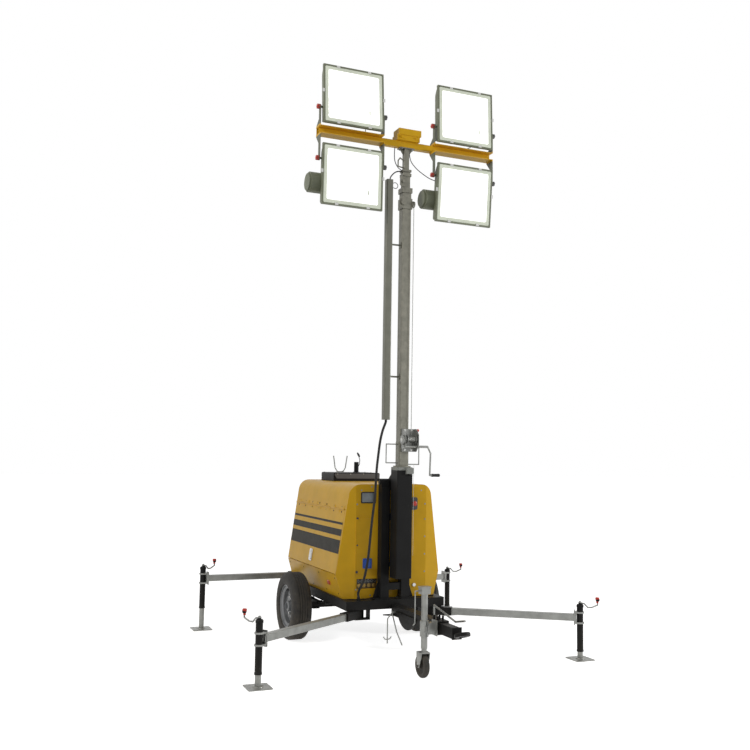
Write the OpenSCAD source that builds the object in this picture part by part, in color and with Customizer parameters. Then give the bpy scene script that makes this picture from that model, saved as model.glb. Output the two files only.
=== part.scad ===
// Mobile light tower: a single-axle trailer with a generator canopy, a telescopic mast
// that tilts back over the roof, four floodlights and four stabiliser arms with jacks.
// Frame: +X to the right seen from the drawbar, +Y to the rear, +Z up, ground at z = 0.

/* [Canopy] */
// Front face of the canopy along Y
canopy_front_y = -85; // [-150:5:-40]
// Length of the canopy
canopy_length = 1470; // [1300:10:1800]
// Height of the lower edge of the canopy
sill_z = 480; // [460:5:560]
// Half width at the lower edge
sill_half = 455; // [400:5:500]
// Height of the widest line
waist_z = 690; // [650:5:760]
// Half width at the widest line
waist_half = 515; // [460:5:560]
// Height of the roof
roof_z = 1500; // [1450:5:1650]
// Half width of the sloping side, taken up to roof height
eave_half = 400; // [340:5:450]
// Radius of the roof edge
roof_radius = 110; // [60:5:160]
// Thickness of the lined sheet walls
wall = 28; // [15:1:45]
// Height of the top hinge of the side doors
door_hinge_z = 1265; // [1150:5:1320]
// Gap round the side doors
door_gap = 6; // [5:1:12]
// Half width of the flat part of the front face
front_flat_half = 352; // [300:2:420]
// How far the front corners fall back
corner_back = 65; // [20:2:90]
// Slats of the air outlet in the rear wall
slat_count = 8; // [3:1:12]
// Height of the engine and generator
engine_h = 560; // [400:10:700]

/* [Chassis] */
// How far the side rails stand out past the canopy's lower edge
rail_ledge = 25; // [5:1:60]
// Height of the rails
rail_h = 80; // [60:2:100]
// Width of a rail
rail_w = 60; // [40:2:80]
// Front face of the front crossmember along Y
chassis_front_y = -215; // [-260:5:-160]
// Centre of the axle along Y
axle_y = 695; // [550:5:850]
// Half length of a leaf spring
spring_half = 355; // [280:5:420]
// Radius of a road tyre
tyre_r = 316; // [290:1:340]
// Width of a road tyre
tyre_w = 187; // [155:1:215]
// Radius of the rim
rim_r = 198; // [165:1:205]
// Centre of each tyre from the middle
track_half = 667; // [640:1:720]
// Width of the drawbar's outer beam
drawbar_w = 92; // [80:2:120]
// Underside of the drawbar
drawbar_z = 345; // [320:1:370]
// Front end of the drawbar's outer beam along Y
drawbar_end_y = -1120; // [-1300:10:-950]
// Centre of the towing eye along Y
eye_y = -1452; // [-1600:2:-1350]
// Bore radius of the towing eye
eye_bore = 30; // [20:1:38]

/* [Mast] */
// Mast axis along Y
mast_y = -298; // [-330:1:-280]
// Tilt axis along Y
tilt_y = -140; // [-160:1:-130]
// Tilt axis height
tilt_z = 1520; // [1500:5:1560]
// Side of the square base column
column_side = 150; // [130:2:180]
// Underside of the base column
column_bottom_z = 680; // [620:5:760]
// Top of the base column
column_top_z = 1661; // [1580:1:1700]
// Sides of the three square sections
section_sides = [86, 68, 50]; // [40:1:100]
// Wall of a section
section_wall = 4; // [3:0.5:6]
// Top of the outer section
section_1_top_z = 4220; // [3800:5:4600]
// Top of the middle section
section_2_top_z = 4395; // [4230:5:4500]
// Height of the light bar's axis
bar_z = 4632; // [4500:2:4900]
// Side of the light bar's square tube
bar_side = 60; // [50:2:80]
// Half length of the light bar
bar_half = 870; // [700:5:1000]

/* [Floodlights] */
// Width of a floodlight
lamp_w = 580; // [450:5:650]
// Height of a floodlight
lamp_h = 547; // [400:5:600]
// Depth of a floodlight's housing
lamp_depth = 235; // [180:5:300]
// Face of the floodlights along Y
lamp_face_y = -415; // [-440:1:-405]
// Pivot of a floodlight behind its face
pivot_depth = 50; // [40:1:52]
// Side distance of a floodlight from the mast
lamp_x = 565; // [520:5:640]
// Floodlights: side, up or down, gap to the bar's axis, pivot in from the edge, tilt, relamping cap
lamp_table = [[-1, 1, 49, 156, -4, 0], [-1, -1, 131.5, 130.5, 1, 1], [1, 1, 49, 156, -2, 0],
  [1, -1, 146.5, 115.5, 5, 1]];

/* [Stabilisers] */
// Front jacks: X and Y of the right one
front_jack = [1465, -930]; // [-1100:5:1700]
// Rear jacks: X of the right one
rear_jack_x = 1385; // [1000:5:1700]
// Rear arms behind the canopy
rear_arm_back = 70; // [60:1:120]
// Height of the front arms' axis
front_arm_z = 361; // [350:1:362]
// Heights of the rear arms' axes, left and right
rear_arm_z = [502, 416]; // [400:1:520]
// Pivot of the front arms: X and Y of the right one
front_pivot = [370, -175]; // [-200:5:380]
// Side of an arm's square tube
arm_side = 60; // [50:1:64]
// Length of a jack's outer tube
jack_length = 410; // [350:5:420]
// Radius of a jack's outer tube
jack_r = 28; // [24:0.5:34]
// Tops of the jacks: front left, front right, rear left, rear right
jack_tops = [508, 478, 618, 500]; // [470:2:660]
// How far the feet lift: front left, front right, rear left, rear right
foot_lifts = [50, 50, 160, 40]; // [10:5:200]
// Side of the square foot plates
foot_side = 190; // [150:5:260]

/* [Jockey wheel] */
// Jockey wheel tube: X and Y
jockey_xy = [-150, -1095]; // [-1200:5:0]
// Top of the jockey wheel's cap
jockey_top_z = 722; // [650:2:800]
// Radius of the jockey wheel's outer tube
jockey_tube_r = 26; // [22:0.5:32]
// Radius of the jockey wheel
jockey_r = 96; // [80:1:110]

/* [Hidden] */

$fn = 32;
e = 0.01;
bore_gap = 0.05;
slide_gap = 0.5;
sheet = 3;
yellow = [0.82, 0.62, 0.10];
black = [0.08, 0.08, 0.09];
zinc = [0.58, 0.60, 0.58];
stone = [0.55, 0.57, 0.52];
canopy_rear_y = canopy_front_y + canopy_length;
side_slope = (waist_half - eave_half) / (roof_z - waist_z);
side_angle = atan(side_slope);
rail_z = sill_z - rail_h;
rail_top_z = sill_z - e;
rail_half = sill_half + rail_ledge;
rail_mid = rail_half - rail_w / 2;
rear_jack = [rear_jack_x, canopy_rear_y + rear_arm_back];
front_arm_angle = atan2(front_jack[1] - front_pivot[1], front_jack[0] - front_pivot[0]);
front_arm_length = norm(front_jack - front_pivot);
sleeve_side = arm_side + 10;
section_tops = [section_1_top_z, section_2_top_z];
section_foot_z = [column_bottom_z + 45, column_bottom_z + 80, column_bottom_z + 160];
gland_xy = [-352, -180];

// Shared shapes

// Box between two corners given as ranges along X, Y and Z
module block(x, y, z) {
  translate([x[0], y[0], z[0]]) cube([x[1] - x[0], y[1] - y[0], z[1] - z[0]]);
}

// Range on both sides of a middle, and range from two offsets
function about(middle, half) = [middle - half, middle + half];
function span(from, low, high) = [from + low, from + high];

// Round bar that follows a path, with a slightly larger ball at each bend
module rod(path, r) {
  for (i = [0:len(path) - 2]) {
    v = path[i + 1] - path[i];
    translate(path[i]) rotate([0, acos(v[2] / norm(v)), atan2(v[1], v[0])]) cylinder(r = r, h = norm(v),
      $fn = 20);
  }
  if (len(path) > 2)
    for (i = [1:len(path) - 2]) translate(path[i]) rotate([50, 35, 0]) sphere(r = 1.04 * r, $fn = 20);
}

// Cylinder along X, centred on its length
module pin_x(r, length, fn = 32) {
  rotate([0, 90, 0]) translate([0, 0, -length / 2]) cylinder(r = r, h = length, $fn = fn);
}

// Arc that rounds the corner b between the points a and c
function fillet(a, b, c, r, n = 5) = let (u = (a - b) / norm(a - b), v = (c - b) / norm(c - b),
  half = acos(u * v) / 2,
  mid = b + (u + v) / norm(u + v) * r / sin(half), p = b + u * r / tan(half) - mid,
    q = b + v * r / tan(half) - mid,
  a0 = atan2(p[1], p[0]), sweep = (atan2(q[1], q[0]) - a0 + 540) % 360 - 180)
  [for (i = [0:n]) mid + r * [cos(a0 + sweep * i / n), sin(a0 + sweep * i / n)]];

// Outline from rows of x, y and corner radius
function smooth(rows) = let (n = len(rows)) [for (i = [0:n - 1]) let (r = rows[i], b = [r[0], r[1]],
  a = [rows[(i + n - 1) % n][0], rows[(i + n - 1) % n][1]], c = [rows[(i + 1) % n][0],
    rows[(i + 1) % n][1]])
  each (r[2] > 0 ? fillet(a, b, c, r[2]) : [b])];

// Square with round corners
module round_square(w, r) {
  square([w - 2 * r, w], center = true);
  square([w, w - 2 * r], center = true);
  for (x = [-1, 1], y = [-1, 1])
    translate([x * (w / 2 - r), y * (w / 2 - r)]) circle(r = r, $fn = 20);
}

// Square tube with round corners between two heights
module tube(side, t, z0, z1, r = 6) {
  translate([0, 0, z0]) linear_extrude(z1 - z0) difference() {
    round_square(side, r);
    round_square(side - 2 * t, max(r - t, 1.5));
  }
}

// Left side as a mirror of the right side
module on_side(s) {
  mirror([s < 0 ? 1 : 0, 0, 0]) children();
}

// Canopy

// Half width of the canopy's outer face at a height
function half_at(z) = z >= waist_z ? waist_half - side_slope * (z - waist_z)
  : waist_half - (waist_half - sill_half) * (waist_z - z) / (waist_z - sill_z);

arc_turn = 90 - side_angle;
arc_centre = [eave_half - roof_radius * tan(arc_turn / 2), roof_z - roof_radius];
arc_steps = 10;
function roof_arc(r) = [for (i = [0:arc_steps]) let (a = 90 - arc_turn * i / arc_steps) arc_centre + r *
  [cos(a), sin(a)]];
function flipped(p) = [for (i = [len(p) - 1:-1:0]) [-p[i][0], p[i][1]]];

// Section of the canopy, drawn in by t on the roof and sides
module outline(t) {
  half = concat(roof_arc(roof_radius - t), [[waist_half - t, waist_z], [sill_half - t, sill_z]]);
  polygon(concat(half, flipped(half)));
}

// Plan of the canopy: flat front, and corners that fall back; its front is drawn in by t
module plan(t = 0) {
  run = [waist_half + 20 - front_flat_half, corner_back];
  in = t * [-run[1], run[0]] / norm(run);
  half = [[waist_half + 20, canopy_rear_y], [waist_half + 20, canopy_front_y + corner_back + in[1] -
    in[0] * run[1] / run[0]],
    [front_flat_half + in[0], canopy_front_y + in[1]]];
  polygon(concat(half, flipped(half)));
}

module across(y0, y1) {
  translate([0, y1, 0]) rotate([90, 0, 0]) linear_extrude(y1 - y0) children();
}

module plan_cut(t = 0) {
  intersection() {
    children();
    translate([0, 0, sill_z - 10]) linear_extrude(roof_z) plan(t);
  }
}

// Hollow length of canopy between two heights
module band(z0, z1, y0, y1) {
  intersection() {
    plan_cut() across(y0, y1) difference() {
      outline(0);
      outline(wall);
    }
    block([-700, 700], [y0 - 1, y1 + 1], [z0, z1]);
  }
}

front_depth = 62;
shell_y0 = canopy_front_y + front_depth + 0.5;
door_y = [canopy_front_y + front_depth + door_gap, canopy_rear_y - e];
window_x = [-299, -165];
window_z = [1335, 1425];
outlet_x = [-334, -129];
outlet_z = [565, 653];
cover_x = [-392, -88];
cover_z = [694, 1214];
emboss = 4;

module canopy_front() {
  color(yellow) {
    difference() {
      plan_cut() across(canopy_front_y, canopy_front_y + front_depth) outline(0);
      // Space behind the front sheet
      plan_cut(wall) across(canopy_front_y + wall, canopy_front_y + front_depth + 1) outline(wall);
      block(window_x, [canopy_front_y - 10, canopy_front_y + wall + 1], window_z);
      block(outlet_x, [canopy_front_y - 10, canopy_front_y + wall + 1], outlet_z);
    }
    // Bolted cover with a raised field
    intersection() {
      union() {
        block(cover_x, [canopy_front_y - sheet, canopy_front_y - e], cover_z);
        translate([(cover_x[0] + cover_x[1]) / 2, canopy_front_y - sheet + e, 0]) rotate([90, 0,
          0]) linear_extrude(emboss)
          polygon(smooth([for (c = [[-1, -1], [1, -1], [1, 1], [-1, 1]])
            [c[0] * ((cover_x[1] - cover_x[0]) / 2 - 38), c[1] < 0 ? cover_z[0] + 34 : cover_z[1] - 24,
              14]]));
      }
      block([-front_flat_half + e, 0], [canopy_front_y - 20, canopy_front_y], [sill_z, roof_z]);
    }
  }
}

slat_pitch = 52;
louvre_half = 260;
louvre_z0 = 760;

module canopy_rear() {
  color(yellow) {
    difference() {
      across(canopy_rear_y - wall, canopy_rear_y) outline(wall + 0.5);
      block([-louvre_half, louvre_half], [canopy_rear_y - wall - 1, canopy_rear_y + 1],
        [louvre_z0, louvre_z0 + slat_count * slat_pitch]);
    }
    // Slats of the air outlet
    for (i = [0:slat_count - 1])
      translate([-louvre_half - e, canopy_rear_y - wall, louvre_z0 + i * slat_pitch]) rotate([90, 0, 90])
        linear_extrude(2 * louvre_half + 2 * e)
          polygon([[0, slat_pitch * 0.75], [sheet, slat_pitch * 0.75], [wall, slat_pitch * 0.1],
            [wall, 0], [wall - sheet, 0], [0, slat_pitch * 0.65]]);
  }
}

// Piano hinge of a side door: barrel, fixed knuckles on the roof and moving ones on the door
hinge_r = 6;
hinge_z = door_hinge_z + door_gap / 2;
hinge_x = half_at(hinge_z) + hinge_r - 2;
knuckle_count = 11;
knuckle = (canopy_rear_y - shell_y0 - 20) / knuckle_count;

module hinge_leaf(up, width) {
  rotate([0, -side_angle, 0]) block([hinge_r - 1 - sheet, hinge_r - 1], [0, width],
    up > 0 ? [0, 34] : [-34, 0]);
}

module hinge_knuckles(s, first, up) {
  on_side(s) translate([hinge_x, shell_y0 + 10, hinge_z])
    for (i = [first:2:knuckle_count - 1])
      translate([0, i * knuckle + 1, 0]) {
        difference() {
          union() {
            rotate([-90, 0, 0]) cylinder(r = hinge_r, h = knuckle - 2);
            translate([-hinge_r - 0.5, 0, 0]) hinge_leaf(up, knuckle - 2);
          }
          if (up < 0) translate([0, -1, 0]) rotate([-90, 0, 0]) cylinder(r = 3 + bore_gap, h = knuckle);
        }
      }
}

module canopy_roof() {
  color(yellow) {
    band(hinge_z + hinge_r + 0.5, roof_z + 1, shell_y0, canopy_rear_y);
    for (s = [-1, 1]) {
      hinge_knuckles(s, 0, 1);
      on_side(s) translate([hinge_x, shell_y0 + 10, hinge_z]) rotate([-90, 0, 0]) cylinder(r = 3,
        h = knuckle * knuckle_count);
    }
  }
}

module canopy_skirts() {
  color(yellow) band(sill_z, waist_z, shell_y0, canopy_rear_y);
}

latch_z = waist_z + 105;
latch_y = canopy_front_y + canopy_length / 2 + 45;

module side_door(s) {
  color(yellow) {
    intersection() {
      band(waist_z + door_gap, hinge_z - hinge_r - 0.5, door_y[0], door_y[1]);
      on_side(s) block([0, 700], [canopy_front_y, canopy_rear_y], [0, roof_z]);
    }
    hinge_knuckles(s, 1, -1);
    // Paddle latch with a rounded plate and a raised paddle
    on_side(s) translate([half_at(latch_z), latch_y, latch_z]) rotate([90, 0, 90 ]) rotate([-side_angle,
      0, 0])
      translate([0, 0, -3]) {
        linear_extrude(6) polygon(smooth([[-38, -55, 10], [38, -55, 10], [38, 55, 10], [-38, 55, 10]]));
        linear_extrude(13) polygon(smooth([[-24, -42, 8], [24, -42, 8], [24, 18, 8], [-24, 18, 8]]));
      }
  }
}

floor_t = 12;

module power_unit() {
  // Engine and generator as one plain block
  color(black) block([-230, 230], [canopy_front_y + 330, canopy_rear_y - 240],
    [sill_z + floor_t + e, sill_z + floor_t + engine_h]);
}

module panel_fittings() {
  color([0.1, 0.2, 0.55]) {
    // Power socket with a hinged lid, on the bolted cover
    translate([-238, canopy_front_y - sheet - emboss, 791]) rotate([90, 0, 0]) {
      linear_extrude(8) polygon(smooth([[-43, -45, 8], [43, -45, 8], [43, 45, 8], [-43, 45, 8]]));
      cylinder(r = 36, h = 26);
      translate([0, 0, 26 - e]) cylinder(r = 29, h = 7);
    }
    // Emergency stop: rounded plate, collar and mushroom button
    translate([221, canopy_front_y - e, 1324]) rotate([90, 0, 0]) {
      linear_extrude(16) polygon(smooth([[-35, -57, 16], [35, -57, 16], [35, 57, 16], [-35, 57, 16]]));
      cylinder(r = 20, h = 24);
      translate([0, 0, 23]) cylinder(r = 24, h = 12);
    }
    // Row of outlets in the lower opening, on their own back plate
    translate([0, canopy_front_y + wall + e, 0]) {
      block([outlet_x[0] - 8, outlet_x[1] + 8], [0, 4], [outlet_z[0] - 8, outlet_z[1] + 8]);
      for (i = [0:5])
        translate([outlet_x[0] + 22 + i * 32, 0, outlet_z[1] - 20]) rotate([90, 0, 0]) cylinder(r = 11,
          h = 16);
      for (i = [0:3])
        translate([outlet_x[0] + 28 + i * 49, 0, outlet_z[0] + 27]) rotate([90, 0, 0]) cylinder(r = 19,
          h = 13);
    }
    // Window pane with its instrument board behind it
    block([window_x[0] - 10, window_x[1] + 10], [canopy_front_y + wall + e, canopy_front_y + wall + 5],
      [window_z[0] - 10, window_z[1] + 10]);
    // Round door lock
    translate([234, canopy_front_y - e, 583]) rotate([90, 0, 0]) cylinder(r = 15, h = 6);
  }
}

module rear_lamps() {
  color([0.6, 0.05, 0.03]) for (s = [-1, 1])
    on_side(s) translate([350, canopy_rear_y + e, 635]) rotate([-90, 0, 0]) {
      linear_extrude(14) polygon(smooth([[-72, -40, 12], [72, -40, 12], [72, 40, 12], [-72, 40, 12]]));
      linear_extrude(36) polygon(smooth([[-66, -34, 10], [66, -34, 10], [66, 34, 10], [-66, 34, 10]]));
    }
}

// Chassis

eye_drop = 14;
leaf_t = 8;
leaf_w = 50;
axle_side = 50;
hub_r = 20;
spring_seat_z = tyre_r + axle_side / 2;
spring_rise = 24;
spring_low = spring_seat_z + e;
spring_radius = (spring_half * spring_half + spring_rise * spring_rise) / (2 * spring_rise);
spring_eye_r = 13;
spring_eye_z = spring_low + 2 * leaf_t + spring_rise + 4;
pivot_low_z = front_arm_z - sleeve_side / 2 - 10.3;
sleeve_pin_r = 12;
housing_side = sleeve_side + 4;

module spring_hanger(x, y) {
  // Two cheeks with the pin of the spring's eye
  for (s = [-1, 1])
    translate([x + s * (leaf_w / 2 + 4.3) - 4, y, 0]) rotate([90, 0, 90]) linear_extrude(8)
      polygon([[-32, rail_z + e], [-14, spring_eye_z - eye_drop], [14, spring_eye_z - eye_drop],
        [32, rail_z + e]]);
  translate([x, y, spring_eye_z]) pin_x(7, leaf_w + 16);
}

module pivot_plate(s) {
  linear_extrude(10) polygon(smooth([[-s * 118, -45, 4], [s * 22, -45, 20], [s * 46, 8, 16],
    [s * 26, 38, 12], [-s * 118, 30, 4]]));
}

module chassis_frame() {
  y0 = chassis_front_y;
  color(black) {
    for (s = [-1, 1])
      on_side(s) block([rail_half - rail_w, rail_half], [y0 + 40, canopy_rear_y], [rail_z, rail_top_z]);
    block([-rail_half, rail_half], [y0, y0 + 80], [rail_z, rail_top_z]);
    for (y = [axle_y - spring_half - 10, axle_y + spring_half, canopy_rear_y - 60])
      block([-rail_mid, rail_mid], [y, y + 60], [rail_z, rail_top_z]);
    // Floor tray of the canopy
    block([-sill_half + wall + 1, sill_half - wall - 1], [canopy_front_y + front_depth,
      canopy_rear_y - wall - 1], [rail_top_z - e, sill_z + floor_t]);
    // Gland of the power cable
    translate([gland_xy[0], gland_xy[1], rail_top_z - e]) {
      cylinder(r = 19, h = 14 + e, $fn = 6);
      cylinder(r = 15, h = 30 + e);
    }
    // Housings of the rear arms, one above the other, with end plates
    difference() {
      union() {
        for (z = rear_arm_z)
          block([-rail_half, rail_half], about(rear_jack[1], housing_side / 2), about(z, housing_side / 2));
        for (s = [-1, 1], x = [rail_mid, 150])
          on_side(s) {
            block([x - 8, x + 8], [canopy_rear_y - 1, rear_jack[1] + 30], [rail_z, rail_top_z]);
            block([x - 8, x + 8], [canopy_rear_y + 1, rear_jack[1] + 30], [rail_z, rear_arm_z[0] - 10]);
          }
      }
      for (z = rear_arm_z)
        block([-rail_half - 1, rail_half + 1], about(rear_jack[1], arm_side / 2 + slide_gap),
          about(z, arm_side / 2 + slide_gap));
    }
    for (s = [-1, 1], y = [-1, 1])
      spring_hanger(s * rail_mid, axle_y + y * spring_half);
    // Lower plates of the front arms' pivots, hung on webs
    for (s = [-1, 1])
      difference() {
        union() {
          translate([s * front_pivot[0], front_pivot[1], pivot_low_z]) pivot_plate(s);
          block(about(s * (front_pivot[0] - 113), 5), [y0, y0 + 75], [pivot_low_z, rail_z + e]);
        }
        translate([s * front_pivot[0], front_pivot[1], pivot_low_z - 1]) cylinder(r = sleeve_pin_r +
          bore_gap, h = 12, $fn = 48);
      }
  }
}

eye_pitch = 20;
eye_reach = 84;
belly_chord = 320;
belly_drop = 72;
belly_radius = (belly_chord * belly_chord / 4 + belly_drop * belly_drop) / (2 * belly_drop);

module drawbar() {
  top = drawbar_z + drawbar_w;
  inner = drawbar_w - 20;
  color(black) {
    block([-drawbar_w / 2, drawbar_w / 2], [drawbar_end_y, chassis_front_y - e], [drawbar_z, top]);
    // Clamping sleeve round the inner bar
    block([-drawbar_w / 2 - 8, drawbar_w / 2 + 8], [drawbar_end_y - 10, drawbar_end_y + 150],
      [drawbar_z - 8, top + 8]);
    // Inner bar with its end plate
    block([-inner / 2, inner / 2], [eye_y + 92, drawbar_end_y + e], [drawbar_z + 4, top - 4]);
    block([-inner / 2 - 6, inner / 2 + 6], [eye_y + eye_reach, eye_y + eye_reach + 10], [drawbar_z, top]);
    // Clamping bolts of the sleeve
    for (y = [40, 100], x = [-24, 24])
      translate([x, drawbar_end_y + y, top + 7]) cylinder(r = 9, h = 34);
    // Wedge plate at the root
    translate([0, 0, drawbar_z]) linear_extrude(10)
      polygon([[-130, chassis_front_y - e], [130, chassis_front_y - e],
        [drawbar_w / 2, chassis_front_y - 70], [-drawbar_w / 2, chassis_front_y - 70]]);
    // Round belly plates under the beam
    for (s = [-1, 1])
      translate([s * (drawbar_w / 2 + 4 - e) - 4, chassis_front_y - 330, drawbar_z]) rotate([90, 0,
        90]) linear_extrude(8)
        intersection() {
          translate([0, belly_radius - belly_drop]) circle(r = belly_radius, $fn = 96);
          translate([-belly_chord, -belly_drop - 1]) square([2 * belly_chord, belly_drop + 51]);
        }
  }
}

module towing_eye() {
  color(black) difference() {
    translate([0, eye_y, drawbar_z + 50]) rotate([-eye_pitch, 0, 0]) {
      rotate_extrude($fn = 48)
        polygon(smooth([[eye_bore, -15, 0], [eye_bore + 34, -15, 8], [eye_bore + 34, 15, 8],
          [eye_bore, 15, 0]]));
      rotate([-90, 0, 0]) translate([0, 0, eye_bore + 6]) cylinder(r = 17, h = 90);
    }
    block([-50, 50], span(eye_y + eye_reach, -e, 100), span(drawbar_z, -100, 200));
  }
}

module drawbar_fittings() {
  side = drawbar_w / 2;
  color(zinc) {
    // Parking brake lever on the right of the beam
    rod([[side + 14, -850, 420], [side + 14, -850, 524], [side + 14, -1231, 454],
      [side + 14, -1385, 486]], 8);
    translate([side + e, -850, 420]) rotate([0, 90, 0]) cylinder(r = 20, h = 17);
    // Release lever and hitch hook at the left root
    rod([[-side - 26, -296, 386], [-side - 26, -300, 360], [-side + 6, -320, 217],
      [-side + 52, -340, 100]], 6);
    rod([[-side - e, -296, 386], [-side - 26, -296, 386]], 9);
    rod([[-side - 26, -296, 386], [-side - 74, -300, 330], [-side - 74, -300, 118]], 5.5);
    rod([[-side - 112, -300, 176], [-side - 98, -300, 156], [-side - 74, -300, 151],
      [-side - 50, -300, 156], [-side - 36, -300, 176]], 4.5);
  }
}

module axle_beam() {
  color(black) {
    block([-rail_half - 50, rail_half + 50], about(axle_y, axle_side / 2), about(tyre_r, axle_side / 2));
    for (s = [-1, 1])
      on_side(s) {
        // Back plate of the brake and the stub axle
        translate([rail_half + 50 - e, axle_y, tyre_r]) rotate([0, 90, 0]) {
          cylinder(r = 112, h = 8);
          cylinder(r = hub_r, h = track_half - rail_half + 8, $fn = 48);
        }
        // Spring seat with its clamp plate
        block(about(rail_mid, 34), about(axle_y, 44), span(spring_seat_z, -58, -50 + e));
      }
  }
}

// One leaf: a slice of a ring, bowed up at its ends
module leaf(i) {
  reach = spring_half - i * 92;
  intersection() {
    translate([0, spring_radius + (2 - i) * leaf_t]) difference() {
      circle(r = spring_radius, $fn = 360);
      circle(r = spring_radius - leaf_t, $fn = 360);
    }
    translate([-reach, -1]) square([2 * reach, 90]);
  }
}

module leaf_springs() {
  color(black) for (s = [-1, 1])
    difference() {
      union() {
        translate([s * rail_mid - leaf_w / 2, axle_y, spring_low]) rotate([90, 0,
          90]) linear_extrude(leaf_w) {
          for (i = [0:2]) leaf(i);
          translate([-30, 0]) square([60, 3 * leaf_t]);
        }
        for (y = [-1, 1])
          translate([s * rail_mid, axle_y + y * spring_half, spring_eye_z]) pin_x(spring_eye_r, leaf_w);
        // Clamp bands
        for (y = [-120, 120])
          block(about(s * rail_mid, leaf_w / 2 + 3), about(axle_y + y, 14),
            span(spring_low, 0.5, 3 * leaf_t + 7));
      }
      for (y = [-1, 1])
        translate([s * rail_mid, axle_y + y * spring_half, spring_eye_z]) pin_x(7 + bore_gap, leaf_w + 2);
    }
}

module wheel_turn(s) {
  translate([s * track_half, axle_y, tyre_r]) rotate([0, s * 90, 0]) children();
}

module tyre(s) {
  half = tyre_w / 2;
  color([0.05, 0.05, 0.05]) wheel_turn(s) rotate_extrude($fn = 72) polygon([
    [rim_r, -half + 18], [rim_r + 16, -half + 6], [rim_r + 56, -half], [tyre_r - 30, -half + 5],
      [tyre_r - 9, -half + 20], [tyre_r, -half + 36],
    [tyre_r, half - 36], [tyre_r - 9, half - 20], [tyre_r - 30, half - 5], [rim_r + 56, half],
      [rim_r + 16, half - 6], [rim_r, half - 18]]);
}

module rim(s) {
  flange = tyre_w / 2 - 18;
  color(zinc) wheel_turn(s) difference() {
    union() {
      // Rim well, disc and hub, drawn as one revolved profile
      rotate_extrude($fn = 72) polygon([
        [rim_r - e, -flange], [rim_r - e, flange], [rim_r - 9, flange], [rim_r - 12, flange - 12],
          [rim_r - 34, flange - 24], [rim_r - 36, 18], [rim_r - 62, 30], [96, 34],
        [72, 16], [52, 16], [46, 62], [32, 70], [0, 70], [0, 64], [hub_r, 60], [hub_r, -62],
        [92, -62], [92, -124], [100, -124], [100, 6], [rim_r - 62, 22], [rim_r - 42, 8],
        [rim_r - 40, -flange + 24], [rim_r - 16, -flange + 12], [rim_r - 14, -flange]]);
    }
    translate([0, 0, -130]) cylinder(r = hub_r + bore_gap, h = 190, $fn = 48);
    for (a = [0:45:315])
      rotate(a) translate([rim_r - 76, 0, -10]) cylinder(r = 12, h = 60, $fn = 20);
  }
}

// Roof fittings

hood_y = [canopy_rear_y - 600, canopy_rear_y - 240];
hood_h = 84;

module roof_hood() {
  color(black) {
    translate([0, hood_y[1], roof_z + e]) rotate([90, 0, 0]) linear_extrude(hood_y[1] - hood_y[0])
      polygon(smooth([[-250, 0, 0], [250, 0, 0], [250, hood_h, 14], [-250, hood_h, 14]]));
    // Raised plate with a cut corner on the front
    translate([0, hood_y[0] + e, roof_z]) rotate([90, 0, 0]) linear_extrude(sheet)
      polygon(smooth([[-222, 24, 8], [244, 24, 8], [244, hood_h - 6, 8], [-240, hood_h - 6, 8],
        [-246, 62, 8]]));
  }
}

cradle_y = canopy_rear_y - 120;
cradle_rod = 6;

module mast_cradle() {
  low = roof_z + 8;
  color(zinc) translate([0, cradle_y, 0]) {
    translate([0, 0, roof_z + e]) linear_extrude(8) polygon(smooth([[-80, -30, 8], [80, -30, 8],
      [80, 30, 8], [-80, 30, 8]]));
    for (s = [-1, 1])
      on_side(s) rod([[34, 0, low - 2], [34, 0, low + 78], [58, 0, low + 120], [77, 0, low + 244]],
        cradle_rod);
    rod([[-40, 0, low + 88], [-20, 0, low + 77], [20, 0, low + 77], [40, 0, low + 88]], cradle_rod - 1);
  }
}

module exhaust() {
  color(black) translate([104, canopy_rear_y - 320, roof_z + hood_h + 2 * e]) {
    difference() {
      cylinder(r = 24, h = 106);
      translate([0, 0, 30]) cylinder(r = 21, h = 100);
    }
    cylinder(r = 34, h = 5);
    // Weather flap on its wire
    rod([[22, 0, 60], [34, 0, 84], [38, 0, 128], [20, 0, 180]], 3.5);
    translate([20, 0, 180]) rotate([0, 62, 0]) cylinder(r = 27, h = 4);
  }
}

// Mast

post_x = [61, 142];
post_y = [tilt_y - 45, tilt_y + 35];
tilt_pin_r = 16;
post_head_r = 34;

module mast_post() {
  color(black) difference() {
    union() {
      for (s = [-1, 1])
        on_side(s) {
          block(post_x, post_y, [rail_top_z + e, tilt_z - 44]);
          block(post_x, about(tilt_y, post_head_r), [tilt_z - 46, tilt_z]);
          translate([(post_x[0] + post_x[1]) / 2, tilt_y, tilt_z]) pin_x(post_head_r,
            post_x[1] - post_x[0]);
          // Foot gusset and foot plate
          across(tilt_y, tilt_y + 10) polygon([[post_x[1] - 1, 660], [post_x[1] + 58, rail_top_z + e],
            [post_x[1] - 1, rail_top_z + e]]);
          block([post_x[0] - 10, post_x[1] + 66], [post_y[0] - 20, post_y[1] + 10],
            [rail_top_z + e, rail_top_z + 10]);
        }
      // Ties between the posts
      for (z = [rail_top_z + 80, tilt_z - 340])
        block([-post_x[0] - 1, post_x[0] + 1], post_y + [12, -12], [z, z + 60]);
      // Rest that the column leans on when the mast stands
      block([-post_x[0] - 1, post_x[0] + 1], [mast_y + column_side / 2 + 0.3, post_y[0] + 14],
        [column_bottom_z + 90, column_bottom_z + 130]);
    }
    translate([0, tilt_y, tilt_z]) pin_x(tilt_pin_r + bore_gap, 320, 48);
  }
}

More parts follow.
